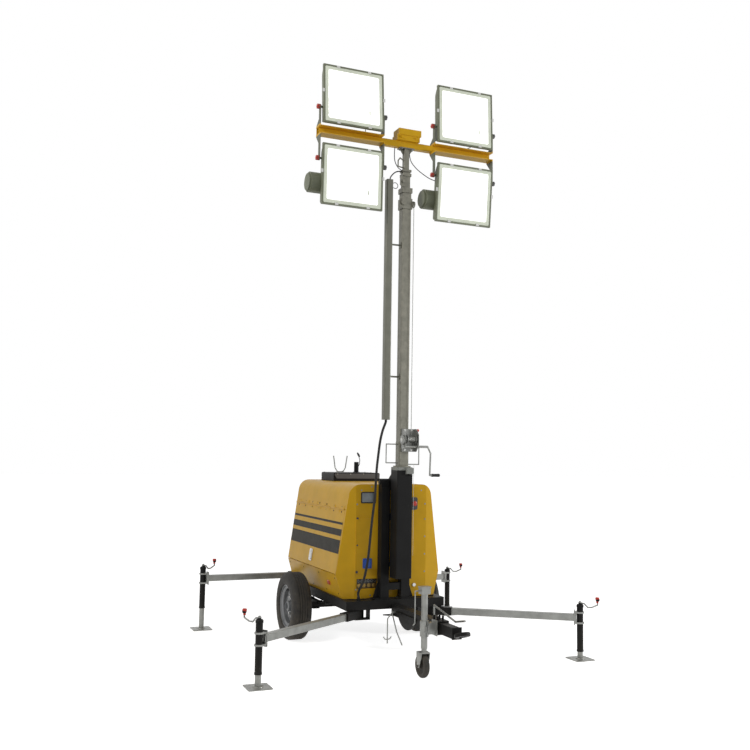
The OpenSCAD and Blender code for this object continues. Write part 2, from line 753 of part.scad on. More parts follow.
module mast_base() {
  half = column_side / 2;
  inner = half - 6;
  color(black) {
    difference() {
      translate([0, mast_y, 0]) tube(column_side, 6, column_bottom_z + 10 - e, column_top_z, 9);
      // Slots that show the sections in the lower rear
      block([-24, 24], [mast_y + inner - 2, mast_y + half + 2],
        [column_bottom_z + 240, column_bottom_z + 460]);
    }
    translate([0, mast_y, column_bottom_z]) linear_extrude(10) round_square(column_side, 9);
    // Tilt lugs and pin
    for (s = [-1, 1])
      translate([s * 44 - 8, 0, 0]) rotate([90, 0, 90]) linear_extrude(16)
        polygon(smooth([[mast_y + half - 3, tilt_z - 110, 0], [tilt_y + 28, tilt_z - 26, 20],
          [tilt_y + 28, tilt_z + 26, 20], [mast_y + half - 3, tilt_z + 110, 0]]));
    translate([0, tilt_y, tilt_z]) pin_x(tilt_pin_r, 2 * post_x[1] + 8, 48);
    for (s = [-1, 1])
      translate([s * (post_x[1] + 6), tilt_y, tilt_z]) pin_x(22, 6);
    // Turn lock with its spring pin on the front
    block([8, half - 4], [mast_y - half - 26, mast_y - half + e], [column_top_z - 56, column_top_z - 6]);
    translate([46, mast_y - half - 13, column_top_z - 70]) cylinder(r = 11, h = 62);
  }
}

// Collar at a section's mouth that hugs the next section
module guide(i, z, h) {
  inner = section_sides[i + 1] + 2 * slide_gap;
  outer = section_sides[i] + 18;
  tube(outer, (outer - inner) / 2, z, z + h, 8);
}

// Pad at a section's foot, running inside the section round it
module foot_pad(i) {
  tube(section_sides[i - 1] - 2 * section_wall - 2 * slide_gap, 14, section_foot_z[i],
    section_foot_z[i] + 60, 5);
}

pulley_r = 26;
rope_x = 58;
rope_r = 3;
rope_y = mast_y - section_sides[0] / 2 - 22;
drum_z = 1912;

module section_pulley(x, z, r) {
  // Grooved pulley between two cheeks on a pin
  translate([x, rope_y + r, z]) {
    rotate([0, 90, 0]) rotate_extrude($fn = 40) polygon([[6, -7], [r + 5, -7], [r + 5, -5],
      [r - rope_r - e, -2.5], [r - rope_r - e, 2.5], [r + 5, 5], [r + 5, 7], [6, 7]]);
    pin_x(8, 30);
    for (s = [-1, 1])
      translate([s * 12, 0, 0]) pin_x(r + 3, 5, 40);
  }
}

module mast_section_1() {
  top = section_tops[0];
  side = section_sides[0];
  color(stone) {
    translate([0, mast_y, 0]) {
      tube(side, section_wall, section_foot_z[0], top - 25);
      // Turning disc at the foot and flange at the column's mouth
      translate([0, 0, section_foot_z[0] - 20]) cylinder(r = column_side / 2 - 6 - slide_gap, h = 20 + e,
        $fn = 48);
      translate([0, 0, column_top_z + 0.3]) linear_extrude(12) difference() {
        circle(r = column_side / 2 + 4, $fn = 48);
        round_square(side - 2, 5);
      }
      for (z = [top - 196, top - 45])
        tube(side + 18, 9 + e, z, z + (z < top - 100 ? 96 : 26), 8);
      guide(0, top - 25 - e, 25);
      // Side plates that carry the handles and the winch
      for (s = [-1, 1])
        on_side(s) block([side / 2 - e, side / 2 + 5], [-34, 34], [column_top_z + 12, column_top_z + 225]);
      // Bearing plate on the left of the rope guide
      translate([0, -side / 2 + e, top]) rotate([90, 0, 0]) {
        linear_extrude(8) polygon(smooth([[-79, -178, 6], [-62, -190, 6], [38, -190, 6], [38, -84, 6],
          [-62, -84, 6], [-79, -104, 6]]));
        translate([-42, -140, 0]) cylinder(r = 27, h = 22, $fn = 24);
      }
    }
    section_pulley(rope_x, top - 150, pulley_r);
    block([side / 2 - e, rope_x - 9], [rope_y + 6, mast_y + side / 2 - 10], [top - 176, top - 124]);
  }
}

loop_r = 5;

// Handle loop with round bends, welded to the section's side plate
module loop_handle(reach, z0, z1) {
  seat = section_sides[0] / 2 + 5 + e;
  rod([[seat, 0, z0], [reach, 0, z0], [reach, 0, z1], [seat, 0, z1]], loop_r);
}

module mast_handles() {
  color(zinc) translate([0, mast_y, 0]) {
    mirror([1, 0, 0]) loop_handle(156, column_top_z + 38, column_top_z + 205);
    loop_handle(168, column_top_z + 26, column_top_z + 178);
  }
}

winch_x = [-31, 100];
drum_r = 20;
rope_wrap = 3.5;
drum_y = rope_y - drum_r - rope_wrap - rope_r - e;

module winch_cheek() {
  // Side frame: square back, rounded nose
  linear_extrude(4) polygon(smooth([[-5, -112, 0], [-5, 92, 0], [42, 92, 30], [92, 40, 34], [92, -58, 40],
    [40, -112, 24]]));
}

module mast_winch() {
  back = mast_y - section_sides[0] / 2 - 9 - e;
  shaft = [back - 48, drum_z - 66];
  color(zinc) {
    // Back plate and two cheeks
    block(winch_x, [back, back + 9], [drum_z - 112, drum_z + 92]);
    for (x = [winch_x[0], winch_x[1] - 4])
      translate([x, back + e, drum_z]) rotate([90, 0, 90]) mirror([1, 0]) winch_cheek();
    // Drum with flanges, on its axle
    translate([(winch_x[0] + winch_x[1]) / 2, drum_y, drum_z]) {
      pin_x(drum_r, winch_x[1] - winch_x[0] + 8, 40);
      for (x = [-34, 50]) translate([x, 0, 0]) pin_x(40, 4, 40);
      // Wound rope
      translate([8, 0, 0]) rotate([0, 90, 0]) translate([0, 0, -40]) rotate_extrude($fn = 40)
        polygon(concat([[drum_r - 1, 0]], [for (i = [0:12]) [drum_r + (i % 2 == 0 ? 1 : rope_wrap),
          4 + i * 6]], [[drum_r - 1, 80]]));
    }
    // Gear cover on the left cheek
    translate([winch_x[0] - 6, drum_y, drum_z - 8]) pin_x(44, 14, 48);
    translate([winch_x[0] - 5, shaft[0], shaft[1]]) pin_x(24, 14);
    // Crank: shaft, cranked arm and grip
    translate([90, shaft[0], shaft[1]]) pin_x(11, 232);
    rod([[200, shaft[0], shaft[1]], [209, shaft[0], shaft[1]], [237, shaft[0], shaft[1] - 58],
      [231, shaft[0], 1592], [246, shaft[0], 1592]], 7.5);
    translate([286, shaft[0], 1592]) pin_x(12, 86);
    // Ratchet pawl lever
    translate([winch_x[1] + 4, back - 30, drum_z + 54]) pin_x(8, 10);
    rod([[winch_x[1] + 5, back - 30, drum_z + 54], [winch_x[1] + 12, back - 38, drum_z + 78]], 4);
    translate([winch_x[1] + 12, back - 38, drum_z + 80]) sphere(r = 9);
  }
}

module winch_rope() {
  color(zinc) translate([rope_x, rope_y, drum_z + 8]) cylinder(r = rope_r,
    h = section_tops[0] - 158 - drum_z, $fn = 16);
}

duct_side = 62;
duct_x = -165;
duct_z = [2083, section_1_top_z + 65];

module cable_duct() {
  reach = -duct_x - duct_side / 2 - section_sides[0] / 2;
  color(zinc) translate([duct_x, mast_y, 0]) {
    tube(duct_side, 4, duct_z[0], duct_z[1], 10);
    translate([0, 0, duct_z[0]]) linear_extrude(5) round_square(duct_side - 2, 9);
    // Standoffs with their feet
    for (z = [duct_z[0] + 391, duct_z[0] + 1603]) {
      translate([duct_side / 2 - 2 + (reach + 2) / 2 - e, 0, z]) pin_x(8, reach + 2 - 2 * e);
      block([duct_side / 2 + reach - 6, duct_side / 2 + reach - e], [-20, 20], [z - 26, z + 26]);
    }
  }
}

module mast_section_2() {
  top = section_tops[1];
  side = section_sides[1];
  color(stone) translate([0, mast_y, 0]) {
    tube(side, section_wall, section_foot_z[1] + 10, top - 20);
    foot_pad(1);
    tube(side + 18, 9 + e, top - 62, top - 36, 8);
    guide(1, top - 20 - e, 20);
    // Rope anchor plate on the left front
    translate([0, -side / 2 + e, top]) rotate([90, 0, 0]) {
      linear_extrude(8) polygon(smooth([[-72, -150, 4], [-58, -166, 4], [-24, -166, 4], [-10, -150, 4],
        [-10, -86, 4], [-24, -70, 4], [-58, -70, 4], [-72, -86, 4]]));
      translate([-41, -118, 0]) cylinder(r = 14, h = 18);
    }
  }
}

module mast_section_3() {
  side = section_sides[2];
  color(stone) translate([0, mast_y, 0]) {
    tube(side, section_wall, section_foot_z[2] + 10, bar_z - bar_side / 2 - 8, 5);
    foot_pad(2);
    // Saddle plate with gussets under the light bar
    translate([0, 0, bar_z - bar_side / 2 - 8]) linear_extrude(8) polygon(smooth([[-75, -38, 8],
      [75, -38, 8], [75, 38, 8], [-75, 38, 8]]));
    for (s = [-1, 1])
      across(-4, 4) polygon([[s * (side / 2 - 1), bar_z - bar_side / 2 - 70],
        [s * (side / 2 + 40), bar_z - bar_side / 2 - 7], [s * (side / 2 - 1), bar_z - bar_side / 2 - 7]]);
    // Cable loop bracket on the left
    rod([[-side / 2 + 2, -8, 4482], [-side / 2 - 36, -8, 4506], [-side / 2 - 56, -8, 4478],
      [-side / 2 - 56, -8, 4424], [-side / 2 + 2, -8, 4416]], 6);
  }
}

module light_bar() {
  half = bar_side / 2;
  color(yellow) translate([0, mast_y, bar_z]) {
    difference() {
      translate([-bar_half, 0, 0]) rotate([0, 90, 0]) linear_extrude(2 * bar_half) difference() {
        round_square(bar_side - 2 * e, 7);
        round_square(bar_side - 8, 3);
      }
      for (l = lamp_table)
        translate([l[0] * lamp_x, 0, -half - 1]) cylinder(r = 6, h = bar_side + 2);
    }
  }
}

module junction_box() {
  color(yellow) translate([0, mast_y, bar_z + bar_side / 2]) {
    block([-113, 114], [-58, 58], [0, 50]);
    block([-99, 126], [-64, 64], [50 - e, 108]);
    for (x = [-70, 80]) translate([x, -58, 24]) rotate([90, 0, 0]) cylinder(r = 9, h = 14);
  }
}

// Floodlights

lamp_rim = 26;
rim_step = 8;
body_back_half = 205;
bracket_gap = 20;
bracket_t = 6;
bracket_back = mast_y + bar_side / 2 - 6 - lamp_face_y - pivot_depth;
trunnion_r = 10;

// Height of a floodlight's centre and of its pivot over the bar's axis
function lamp_centre(l) = l[1] * (l[2] + lamp_h / 2);
function lamp_pivot(l) = l[1] * (l[2] + l[3]);

// Local frame of a floodlight: face at y = 0, housing behind it, centre at z = 0
module lamp_place(l) {
  translate([l[0] * lamp_x, lamp_face_y + pivot_depth, bar_z + lamp_pivot(l)]) rotate([l[4], 0, 0])
    translate([0, -pivot_depth, lamp_centre(l) - lamp_pivot(l)]) children();
}

module floodlight(l) {
  w = lamp_w / 2;
  h = lamp_h / 2;
  d = lamp_depth;
  color(stone) lamp_place(l) difference() {
    union() {
      intersection() {
        // Plan: frame, then side walls that draw in towards the back
        translate([0, 0, -h]) linear_extrude(lamp_h) polygon(smooth([[-w, 0, 0], [w, 0, 0],
          [w, lamp_rim, 0], [w - rim_step, lamp_rim, 0],
          [w - 14, 90, 60], [body_back_half, d, 40], [-body_back_half, d, 40], [-w + 14, 90, 60],
            [-w + rim_step, lamp_rim, 0], [-w, lamp_rim, 0]]));
        // Side view: long slope from the top, deepest below the middle, short slope to the bottom
        translate([-w, 0, 0]) rotate([90, 0, 90]) linear_extrude(lamp_w) polygon(smooth([[0, -h, 0],
          [0, h, 0], [lamp_rim, h, 0], [lamp_rim, h - rim_step, 0],
          [60, h - 34, 40], [d, 20, 60], [d, -h + 110, 60], [70, -h + 22, 30],
            [lamp_rim, -h + rim_step, 0], [lamp_rim, -h, 0]]));
      }
      // Trunnions
      translate([0, pivot_depth, lamp_pivot(l) - lamp_centre(l)]) pin_x(trunnion_r, lamp_w + 56, 48);
      // Relamping cap on the side
      if (l[5] > 0)
        translate([-w + 40, 132, -60]) rotate([0, -90, 0]) {
          cylinder(r = 82, h = 96);
          cylinder(r = 91, h = 122);
          translate([0, 0, 122 - e]) cylinder(r = 76, h = 16);
        }
      // Cooling ribs on the back
      for (x = [-3:3])
        block(about(x * 44, 3), [d - 20, d + 9], [-h + 120, 6]);
    }
    // Seat of the front glass
    block([-w + 14, w - 14], [-1, 6], [-h + 14, h - 14]);
  }
}

module bracket_arm(l) {
  // Flat bar with a round end at the pivot
  high = abs(lamp_pivot(l)) - bar_side / 2;
  difference() {
    rotate([90, 0, 90]) linear_extrude(bracket_t) {
      circle(r = 22, $fn = 40);
      scale([1, -l[1]]) polygon([[-22, 0], [22, 0], [22, high * 0.6], [bracket_back, high - 14],
        [bracket_back, high - e], [-22, high - e]]);
    }
    translate([bracket_t / 2, 0, 0]) pin_x(trunnion_r + bore_gap, 20, 48);
  }
}

module lamp_brackets() {
  x0 = lamp_w / 2 + bracket_gap;
  y0 = lamp_face_y + pivot_depth;
  color(black) for (l = lamp_table)
    translate([l[0] * lamp_x, y0, bar_z]) {
      for (s = [-1, 1])
        translate([s > 0 ? x0 - bracket_t : -x0, 0, lamp_pivot(l)]) bracket_arm(l);
      // Cross plate on the light bar, and the clamp knobs
      block([-x0, x0], [-22, bracket_back], about(l[1] * (bar_side / 2 + e + bracket_t / 2),
        bracket_t / 2));
      for (s = [-1, 1])
        translate([s * (x0 + 11), 0, lamp_pivot(l)]) difference() {
          pin_x(17, 24, 24);
          pin_x(trunnion_r + bore_gap, 60, 48);
        }
    }
}

// Stabilisers

jack_seat = 44;
leg_r = 24.4;
crank_turns = [90, 0, 150, -25];

module arm_tube(start, end) {
  rotate([0, 90, 0]) tube(arm_side, 4, start, end, 7);
}

// Clamp that carries a jack at the end of its arm: end plate, two rings and cheeks
module jack_clamp() {
  difference() {
    union() {
      block([-jack_seat - 10, -jack_seat], [-40, 40], [-62, 62]);
      for (z = [-52, 38])
        translate([0, 0, z]) {
          cylinder(r = jack_r + 9, h = 14);
          block([-jack_seat - 1, 0], [-jack_r - 9, jack_r + 9], [0, 14]);
        }
      for (y = [-1, 1])
        block([-jack_seat - 1, -jack_r - 2], about(y * (jack_r + 6), 3), [-52, 52]);
    }
    translate([0, 0, -80]) cylinder(r = jack_r + bore_gap, h = 160, $fn = 48);
  }
}

module at_front_pivot(s) {
  on_side(s) translate([front_pivot[0], front_pivot[1], front_arm_z]) rotate(front_arm_angle) children();
}

module arm_front(s) {
  color(zinc) at_front_pivot(s) {
    arm_tube(-45, front_arm_length - jack_seat - 5);
    translate([front_arm_length, 0, 0]) jack_clamp();
  }
}

module arm_rear(s) {
  color(zinc) on_side(s) translate([0, rear_jack[1], rear_arm_z[s < 0 ? 0 : 1]]) {
    arm_tube(335, rear_jack[0] - jack_seat - 5);
    translate([rear_jack[0], 0, 0]) jack_clamp();
  }
}

module arm_pivot(s) {
  // Sleeve that turns with the arm, with the pin in the lower plate and a boss under the rail
  color(black) at_front_pivot(s) {
    difference() {
      block([-70, 190], about(0, sleeve_side / 2), about(0, sleeve_side / 2));
      block([-71, 191], about(0, arm_side / 2 + e), about(0, arm_side / 2 + e));
    }
    translate([0, 0, -sleeve_side / 2 - 14]) cylinder(r = sleeve_pin_r, h = 14 + e, $fn = 48);
    translate([0, 0, sleeve_side / 2 - e]) cylinder(r = 26, h = rail_z - 0.3 - front_arm_z - sleeve_side
      / 2 + e);
    for (y = [-1, 1])
      block([184, 190], about(y * (sleeve_side / 2 + 5), 5 + e), about(0, sleeve_side / 2));
  }
}

module jack(i) {
  top = jack_tops[i];
  color(black) {
    difference() {
      translate([0, 0, top - jack_length]) rotate_extrude($fn = 48) polygon([[0, 0], [jack_r + 2.5, 0],
        [jack_r + 2.5, 14], [jack_r, 18], [jack_r, jack_length - 28],
        [jack_r + 3, jack_length - 26], [jack_r + 3, jack_length - 10], [jack_r - 4, jack_length],
          [0, jack_length]]);
      translate([0, 0, top - jack_length - 1]) cylinder(r = leg_r + 0.1, h = jack_length - 30, $fn = 48);
    }
    // Crank on the top: hub, dipped arm and upright knob
    translate([0, 0, top - e]) cylinder(r = 13, h = 14);
    rotate(crank_turns[i]) {
      rod([[0, 0, top + 8], [36, 0, top + 6], [66, 0, top - 26], [100, 0, top - 26], [152, 0, top - 2],
        [152, 0, top + 30]], 6);
      translate([152, 0, top + 44]) sphere(r = 18);
    }
  }
}

module jack_front(s) {
  on_side(s) translate([front_jack[0], front_jack[1], 0]) rotate(front_arm_angle) jack(s < 0 ? 0 : 1);
}

module jack_rear(s) {
  on_side(s) translate([rear_jack[0], rear_jack[1], 0]) jack(s < 0 ? 2 : 3);
}

module leg(place, s, i) {
  color(zinc) translate([s * place[0], place[1], 0]) {
    translate([0, 0, 7]) cylinder(r = leg_r, h = jack_tops[i] - foot_lifts[i] - 43, $fn = 48);
    translate([0, 0, 7]) rotate_extrude($fn = 48) polygon([[0, 0], [44, 0], [42, 4], [leg_r, 9], [0, 9]]);
    linear_extrude(8) polygon(smooth([for (c = [[-1, -1], [1, -1], [1, 1],
      [-1, 1]]) [c[0] * foot_side / 2, c[1] * foot_side / 2, 12]]));
  }
}

// Jockey wheel

stem_r = jockey_tube_r - 4.6;

module jockey_holder() {
  arm_x = -jockey_xy[0] - drawbar_w / 2;
  color(zinc) translate([jockey_xy[0], jockey_xy[1], 0]) {
    difference() {
      union() {
        translate([0, 0, 236]) cylinder(r = jockey_tube_r, h = jockey_top_z - 250);
        // Clamp: split ring, block and flange on the drawbar
        translate([0, 0, drawbar_z - 16]) cylinder(r = jockey_tube_r + 9, h = 124);
        block([0, arm_x - 12], [-24, 24], span(drawbar_z, 0, 92));
        block([arm_x - 14, arm_x - 8 - e], [-44, 48], span(drawbar_z, -14, 108));
        block([-12, 12], [-jockey_tube_r - 26, 0], span(drawbar_z, 20, 70));
      }
      translate([0, 0, 235]) cylinder(r = stem_r + 0.1, h = jockey_top_z - 270, $fn = 48);
      block([-3, 3], [-jockey_tube_r - 27, -stem_r], span(drawbar_z, -17, 110));
    }
    // Folded cap with its crank
    block([-40, 40], [-30, 30], [jockey_top_z - 60, jockey_top_z - 8]);
    block([-44, 44], [-34, 34], [jockey_top_z - 10, jockey_top_z]);
    rod([[-30, 0, jockey_top_z - 34], [-84, 0, jockey_top_z - 34], [-84, 0, jockey_top_z - 285],
      [-100, 0, jockey_top_z - 302]], 5);
  }
}

module jockey_stem() {
  color(zinc) translate([jockey_xy[0], jockey_xy[1], 0]) {
    translate([0, 0, 209]) cylinder(r = stem_r, h = 396, $fn = 48);
    translate([0, 0, 205]) cylinder(r = jockey_tube_r + 7, h = 6);
  }
}

jockey_trail = 28;
jockey_pin_r = 8;

module jockey_fork() {
  color(zinc) translate([jockey_xy[0], jockey_xy[1] + jockey_trail, jockey_r]) {
    for (s = [-1, 1])
      difference() {
        translate([s * 37 - 3, 0, 0]) rotate([90, 0, 90]) linear_extrude(6)
          polygon(smooth([[-58, 102, 0], [-50, 60, 20], [-17, -14, 14], [17, -14, 14], [30, 60, 20],
            [30, 102, 0]]));
        translate([s * 37, 0, 0]) pin_x(jockey_pin_r + bore_gap, 20, 48);
      }
    block([-40, 40], [-58, 30], [102 - e, 108.7]);
  }
}

module jockey_wheel() {
  r = jockey_r;
  color(black) translate([jockey_xy[0], jockey_xy[1] + jockey_trail, r]) rotate([0, 90, 0]) {
    rotate_extrude($fn = 56) polygon([[9, -26], [20, -26], [24, -12], [r - 38, -12], [r - 32, -21],
      [r - 10, -24], [r - 2, -15], [r, -6], [r, 6],
      [r - 2, 15], [r - 10, 24], [r - 32, 21], [r - 38, 12], [24, 12], [20, 26], [9, 26]]);
    cylinder(r = jockey_pin_r, h = 90, center = true, $fn = 48);
    cylinder(r = 10, h = 50, center = true);
  }
}

// Cords

function bez(p, t) = let (n = len(p) - 1, k = min(floor(t * n), n - 1), f = t * n - k,
  a = p[max(k - 1, 0)], b = p[k], c = p[k + 1], d = p[min(k + 2, n)])
  0.5 * ((2 * b) + (c - a) * f + (2 * a - 5 * b + 4 * c - d) * f * f + (3 * b - a - 3 * c + d) * f * f * f);

module cord(route, r, rings, sides = 10) {
  pts = [for (i = [0:rings]) bez(route, i / rings)];
  dirs = [for (i = [0:rings]) i == 0 || i == rings ? [0, 0, -1] : (pts[i + 1] - pts[i - 1]) / norm(pts[i
    + 1] - pts[i - 1])];
  ring = [for (i = [0:rings]) let (u0 = cross(dirs[i], [0, 1, 0]), u = u0 / norm(u0), w = cross(dirs[i], u))
    [for (j = [0:sides - 1]) pts[i] + r * (cos(360 * j / sides) * u + sin(360 * j / sides) * w)]];
  polyhedron(
    points = [for (q = ring) for (v = q) v],
    faces = concat([[for (j = [0:sides - 1]) j]],
      [for (i = [0:rings - 1]) for (j = [0:sides - 1])
        [i * sides + j, (i + 1) * sides + j, (i + 1) * sides + (j + 1) % sides,
          i * sides + (j + 1) % sides]],
      [[for (j = [sides - 1:-1:0]) rings * sides + j]]));
}

cable_r = 11;
upper_route = [[duct_x, mast_y, duct_z[0] - e], [duct_x, mast_y, 2060], [-196, -304, 1985],
  [-222, -312, 1890], [-240, -318, 1770], [-254, -322, 1660], [-260, -322, 1565]];
lower_route = [[-260, -322, 1564.9], [-268, -320, 1400], [-292, -310, 1150], [-316, -298, 850],
  [-336, -250, 660], [gland_xy[0], gland_xy[1], 560], [gland_xy[0], gland_xy[1], rail_top_z + 30 + e]];

module power_cable_upper() {
  color(black) cord(upper_route, cable_r, 24);
}

module power_cable_lower() {
  color(black) cord(lower_route, cable_r, 42);
}

chassis_frame();
drawbar();
towing_eye();
drawbar_fittings();
axle_beam();
leaf_springs();
power_unit();
canopy_front();
canopy_rear();
canopy_roof();
canopy_skirts();
roof_hood();
mast_cradle();
exhaust();
mast_post();
panel_fittings();
jockey_holder();
rear_lamps();
side_door(-1);  // side_door_left
side_door(1);  // side_door_right
mast_base();
mast_section_1();
mast_handles();
mast_winch();
winch_rope();
cable_duct();
mast_section_2();
mast_section_3();
light_bar();
junction_box();
lamp_brackets();
floodlight(lamp_table[0]);  // floodlight_upper_left
floodlight(lamp_table[1]);  // floodlight_lower_left
floodlight(lamp_table[2]);  // floodlight_upper_right
floodlight(lamp_table[3]);  // floodlight_lower_right
tyre(-1);  // tyre_left
tyre(1);  // tyre_right
rim(-1);  // rim_left
rim(1);  // rim_right
arm_front(-1);  // arm_front_left
arm_front(1);  // arm_front_right
arm_rear(-1);  // arm_rear_left
arm_rear(1);  // arm_rear_right
arm_pivot(-1);  // arm_pivot_left
arm_pivot(1);  // arm_pivot_right
jack_front(-1);  // jack_front_left
jack_front(1);  // jack_front_right
jack_rear(-1);  // jack_rear_left
jack_rear(1);  // jack_rear_right
leg(front_jack, -1, 0);  // leg_front_left
leg(front_jack, 1, 1);  // leg_front_right
leg(rear_jack, -1, 2);  // leg_rear_left
leg(rear_jack, 1, 3);  // leg_rear_right
jockey_stem();
jockey_fork();
jockey_wheel();
power_cable_lower();
power_cable_upper();
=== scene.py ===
"""Looks of the mobile light tower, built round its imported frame."""
import math

import bmesh
import bpy
from mathutils import Matrix, Vector


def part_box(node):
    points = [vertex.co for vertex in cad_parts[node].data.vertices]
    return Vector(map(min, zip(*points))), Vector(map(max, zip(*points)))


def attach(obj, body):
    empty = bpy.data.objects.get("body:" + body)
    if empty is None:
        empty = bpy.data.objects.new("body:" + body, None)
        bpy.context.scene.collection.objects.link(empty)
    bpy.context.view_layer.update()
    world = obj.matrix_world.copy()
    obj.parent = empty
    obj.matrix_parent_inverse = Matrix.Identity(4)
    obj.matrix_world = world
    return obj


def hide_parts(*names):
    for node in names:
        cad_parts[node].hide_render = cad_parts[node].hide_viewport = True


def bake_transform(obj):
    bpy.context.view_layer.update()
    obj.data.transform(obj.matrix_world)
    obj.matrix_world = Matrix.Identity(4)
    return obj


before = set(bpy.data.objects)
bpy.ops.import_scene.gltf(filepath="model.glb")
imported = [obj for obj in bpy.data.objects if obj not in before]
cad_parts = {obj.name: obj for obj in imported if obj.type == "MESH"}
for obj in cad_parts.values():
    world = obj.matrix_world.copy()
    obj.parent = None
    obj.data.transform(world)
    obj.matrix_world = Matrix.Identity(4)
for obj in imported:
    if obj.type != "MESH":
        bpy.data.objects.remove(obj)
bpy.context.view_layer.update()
scene = bpy.context.scene

# Camera: the photograph's viewing angle
FOCAL_PX, PHOTO_PX, SENSOR_MM = 899.5, 750, 36
CAMERA_AT = Vector((-3.3985, -7.6966, 1.7693))
YAW, PITCH, ROLL = math.radians(-22.881), math.radians(5.06), math.radians(0.9)


def add_camera():
    forward = Vector((-math.sin(YAW) * math.cos(PITCH), math.cos(YAW) * math.cos(PITCH), math.sin(PITCH)))
    right = forward.cross(Vector((0, 0, 1))).normalized()
    up = right.cross(forward)
    across = right * math.cos(ROLL) + up * math.sin(ROLL)
    above = up * math.cos(ROLL) - right * math.sin(ROLL)
    data = bpy.data.cameras.new("photo_camera")
    data.sensor_width = SENSOR_MM
    data.lens = SENSOR_MM * FOCAL_PX / PHOTO_PX
    cam = bpy.data.objects.new("photo_camera", data)
    scene.collection.objects.link(cam)
    turn = Matrix((across, above, -forward)).transposed().to_4x4()
    cam.matrix_world = Matrix.Translation(CAMERA_AT) @ turn
    scene.camera = cam


# Materials
COAT_ROUGH = 0.18
ROUGH_SPREAD = 0.09
GRAIN_DEPTH = 0.0006


def material(name, base, rough=0.5, metal=0.0, vary=0.12, vary_scale=6.0, grain=60.0, bump=0.15,
             dirt=None, dirt_top=0.0, dirt_share=0.35, coat=0.0, zones=(), glow=0.0, shine=0.5):
    """Procedural surface: cloudy colour, fine grain, roughness that wanders, and dirt that thins out
    with height. A zone is (x range, z range, colour): inside it the surface has that colour."""
    m = bpy.data.materials.new(name)
    m.use_nodes = True
    tree = m.node_tree
    new, link = tree.nodes.new, tree.links.new
    bsdf = tree.nodes["Principled BSDF"]
    bsdf.inputs["Metallic"].default_value = metal
    bsdf.inputs["Coat Weight"].default_value = coat
    bsdf.inputs["Specular IOR Level"].default_value = shine
    bsdf.inputs["Coat Roughness"].default_value = COAT_ROUGH
    where = new("ShaderNodeTexCoord")
    split = new("ShaderNodeSeparateXYZ")
    link(where.outputs["Object"], split.inputs["Vector"])

    def noise(scale, detail=4.0, roughness=0.55):
        n = new("ShaderNodeTexNoise")
        n.inputs["Scale"].default_value = scale
        n.inputs["Detail"].default_value = detail
        n.inputs["Roughness"].default_value = roughness
        link(where.outputs["Object"], n.inputs["Vector"])
        return n.outputs["Fac"]

    def ramp(source, low, high):
        r = new("ShaderNodeMapRange")
        r.inputs["From Min"].default_value = low
        r.inputs["From Max"].default_value = high
        link(source, r.inputs["Value"])
        return r.outputs["Result"]

    def mix(factor, a, b):
        n = new("ShaderNodeMix")
        n.data_type = "RGBA"
        link(factor, n.inputs["Factor"])
        for socket, value in ((n.inputs["A"], a), (n.inputs["B"], b)):
            if isinstance(value, tuple):
                socket.default_value = (*value, 1)
            else:
                link(value, socket)
        return n.outputs["Result"]

    def math_node(kind, a, b, c=None):
        n = new("ShaderNodeMath")
        n.operation = kind
        for i, value in enumerate((a, b, c)):
            if isinstance(value, (int, float)):
                n.inputs[i].default_value = value
            elif value is not None:
                link(value, n.inputs[i])
        return n.outputs[0]

    dark = tuple(c * (1 - vary) for c in base)
    pale = tuple(min(1, c * (1 + vary)) for c in base)
    colour = mix(ramp(noise(vary_scale), 0.3, 0.7), dark, pale)
    for x, z, tone in zones:
        inside = [math_node("COMPARE", split.outputs[axis], (low + high) / 2, (high - low) / 2)
                  for axis, (low, high) in (("X", x), ("Z", z))]
        colour = mix(math_node("MULTIPLY", *inside), colour, tone)
    if dirt:
        height = ramp(split.outputs["Z"], dirt_top, 0.0)
        cloud = ramp(noise(vary_scale * 2.2, 6, 0.65), 0.35, 0.7)
        share = math_node("MULTIPLY", math_node("MULTIPLY", height, cloud), dirt_share)
        colour = mix(share, colour, dirt)
    link(colour, bsdf.inputs["Base Color"])
    if glow:
        link(colour, bsdf.inputs["Emission Color"])
        bsdf.inputs["Emission Strength"].default_value = glow
    gloss = new("ShaderNodeMapRange")
    gloss.inputs["To Min"].default_value = max(0.05, rough - ROUGH_SPREAD)
    gloss.inputs["To Max"].default_value = min(1.0, rough + ROUGH_SPREAD)
    link(noise(vary_scale * 3, 5), gloss.inputs["Value"])
    link(gloss.outputs["Result"], bsdf.inputs["Roughness"])
    relief = new("ShaderNodeBump")
    relief.inputs["Strength"].default_value = bump
    relief.inputs["Distance"].default_value = GRAIN_DEPTH
    link(noise(grain, 3), relief.inputs["Height"])
    link(relief.outputs["Normal"], bsdf.inputs["Normal"])
    return m


DUST = (0.26, 0.22, 0.16)
OCHRE_DUST = (0.30, 0.19, 0.05)
AMBER = (0.70, 0.40, 0.014)
BARE = (0.30, 0.31, 0.29)
YELLOW = material("yellow_paint", AMBER, 0.38, vary=0.06, grain=220, bump=0.10, coat=0.08,
                  dirt=OCHRE_DUST, dirt_top=0.75, shine=0.12)
BLACK = material("black_paint", (0.011, 0.011, 0.011), 0.45, vary=0.25, grain=180, bump=0.12,
                 dirt=DUST, dirt_top=0.55, dirt_share=0.10, shine=0.12)
ZINC = material("zinc_plate", (0.275, 0.28, 0.265), 0.38, metal=0.6, vary=0.16, vary_scale=14, grain=150,
                bump=0.18, dirt=DUST, dirt_top=0.3, dirt_share=0.2)
GALV = material("galvanised", (0.20, 0.195, 0.16), 0.46, metal=0.5, vary=0.18, vary_scale=22, grain=120,
                bump=0.2)
DUCT = material("duct_alloy", (0.16, 0.16, 0.13), 0.40, metal=0.4, vary=0.10, vary_scale=9, grain=200,
                bump=0.08)
HOUSING = material("lamp_housing", (0.17, 0.185, 0.125), 0.52, vary=0.14, vary_scale=9, grain=90, bump=0.2)
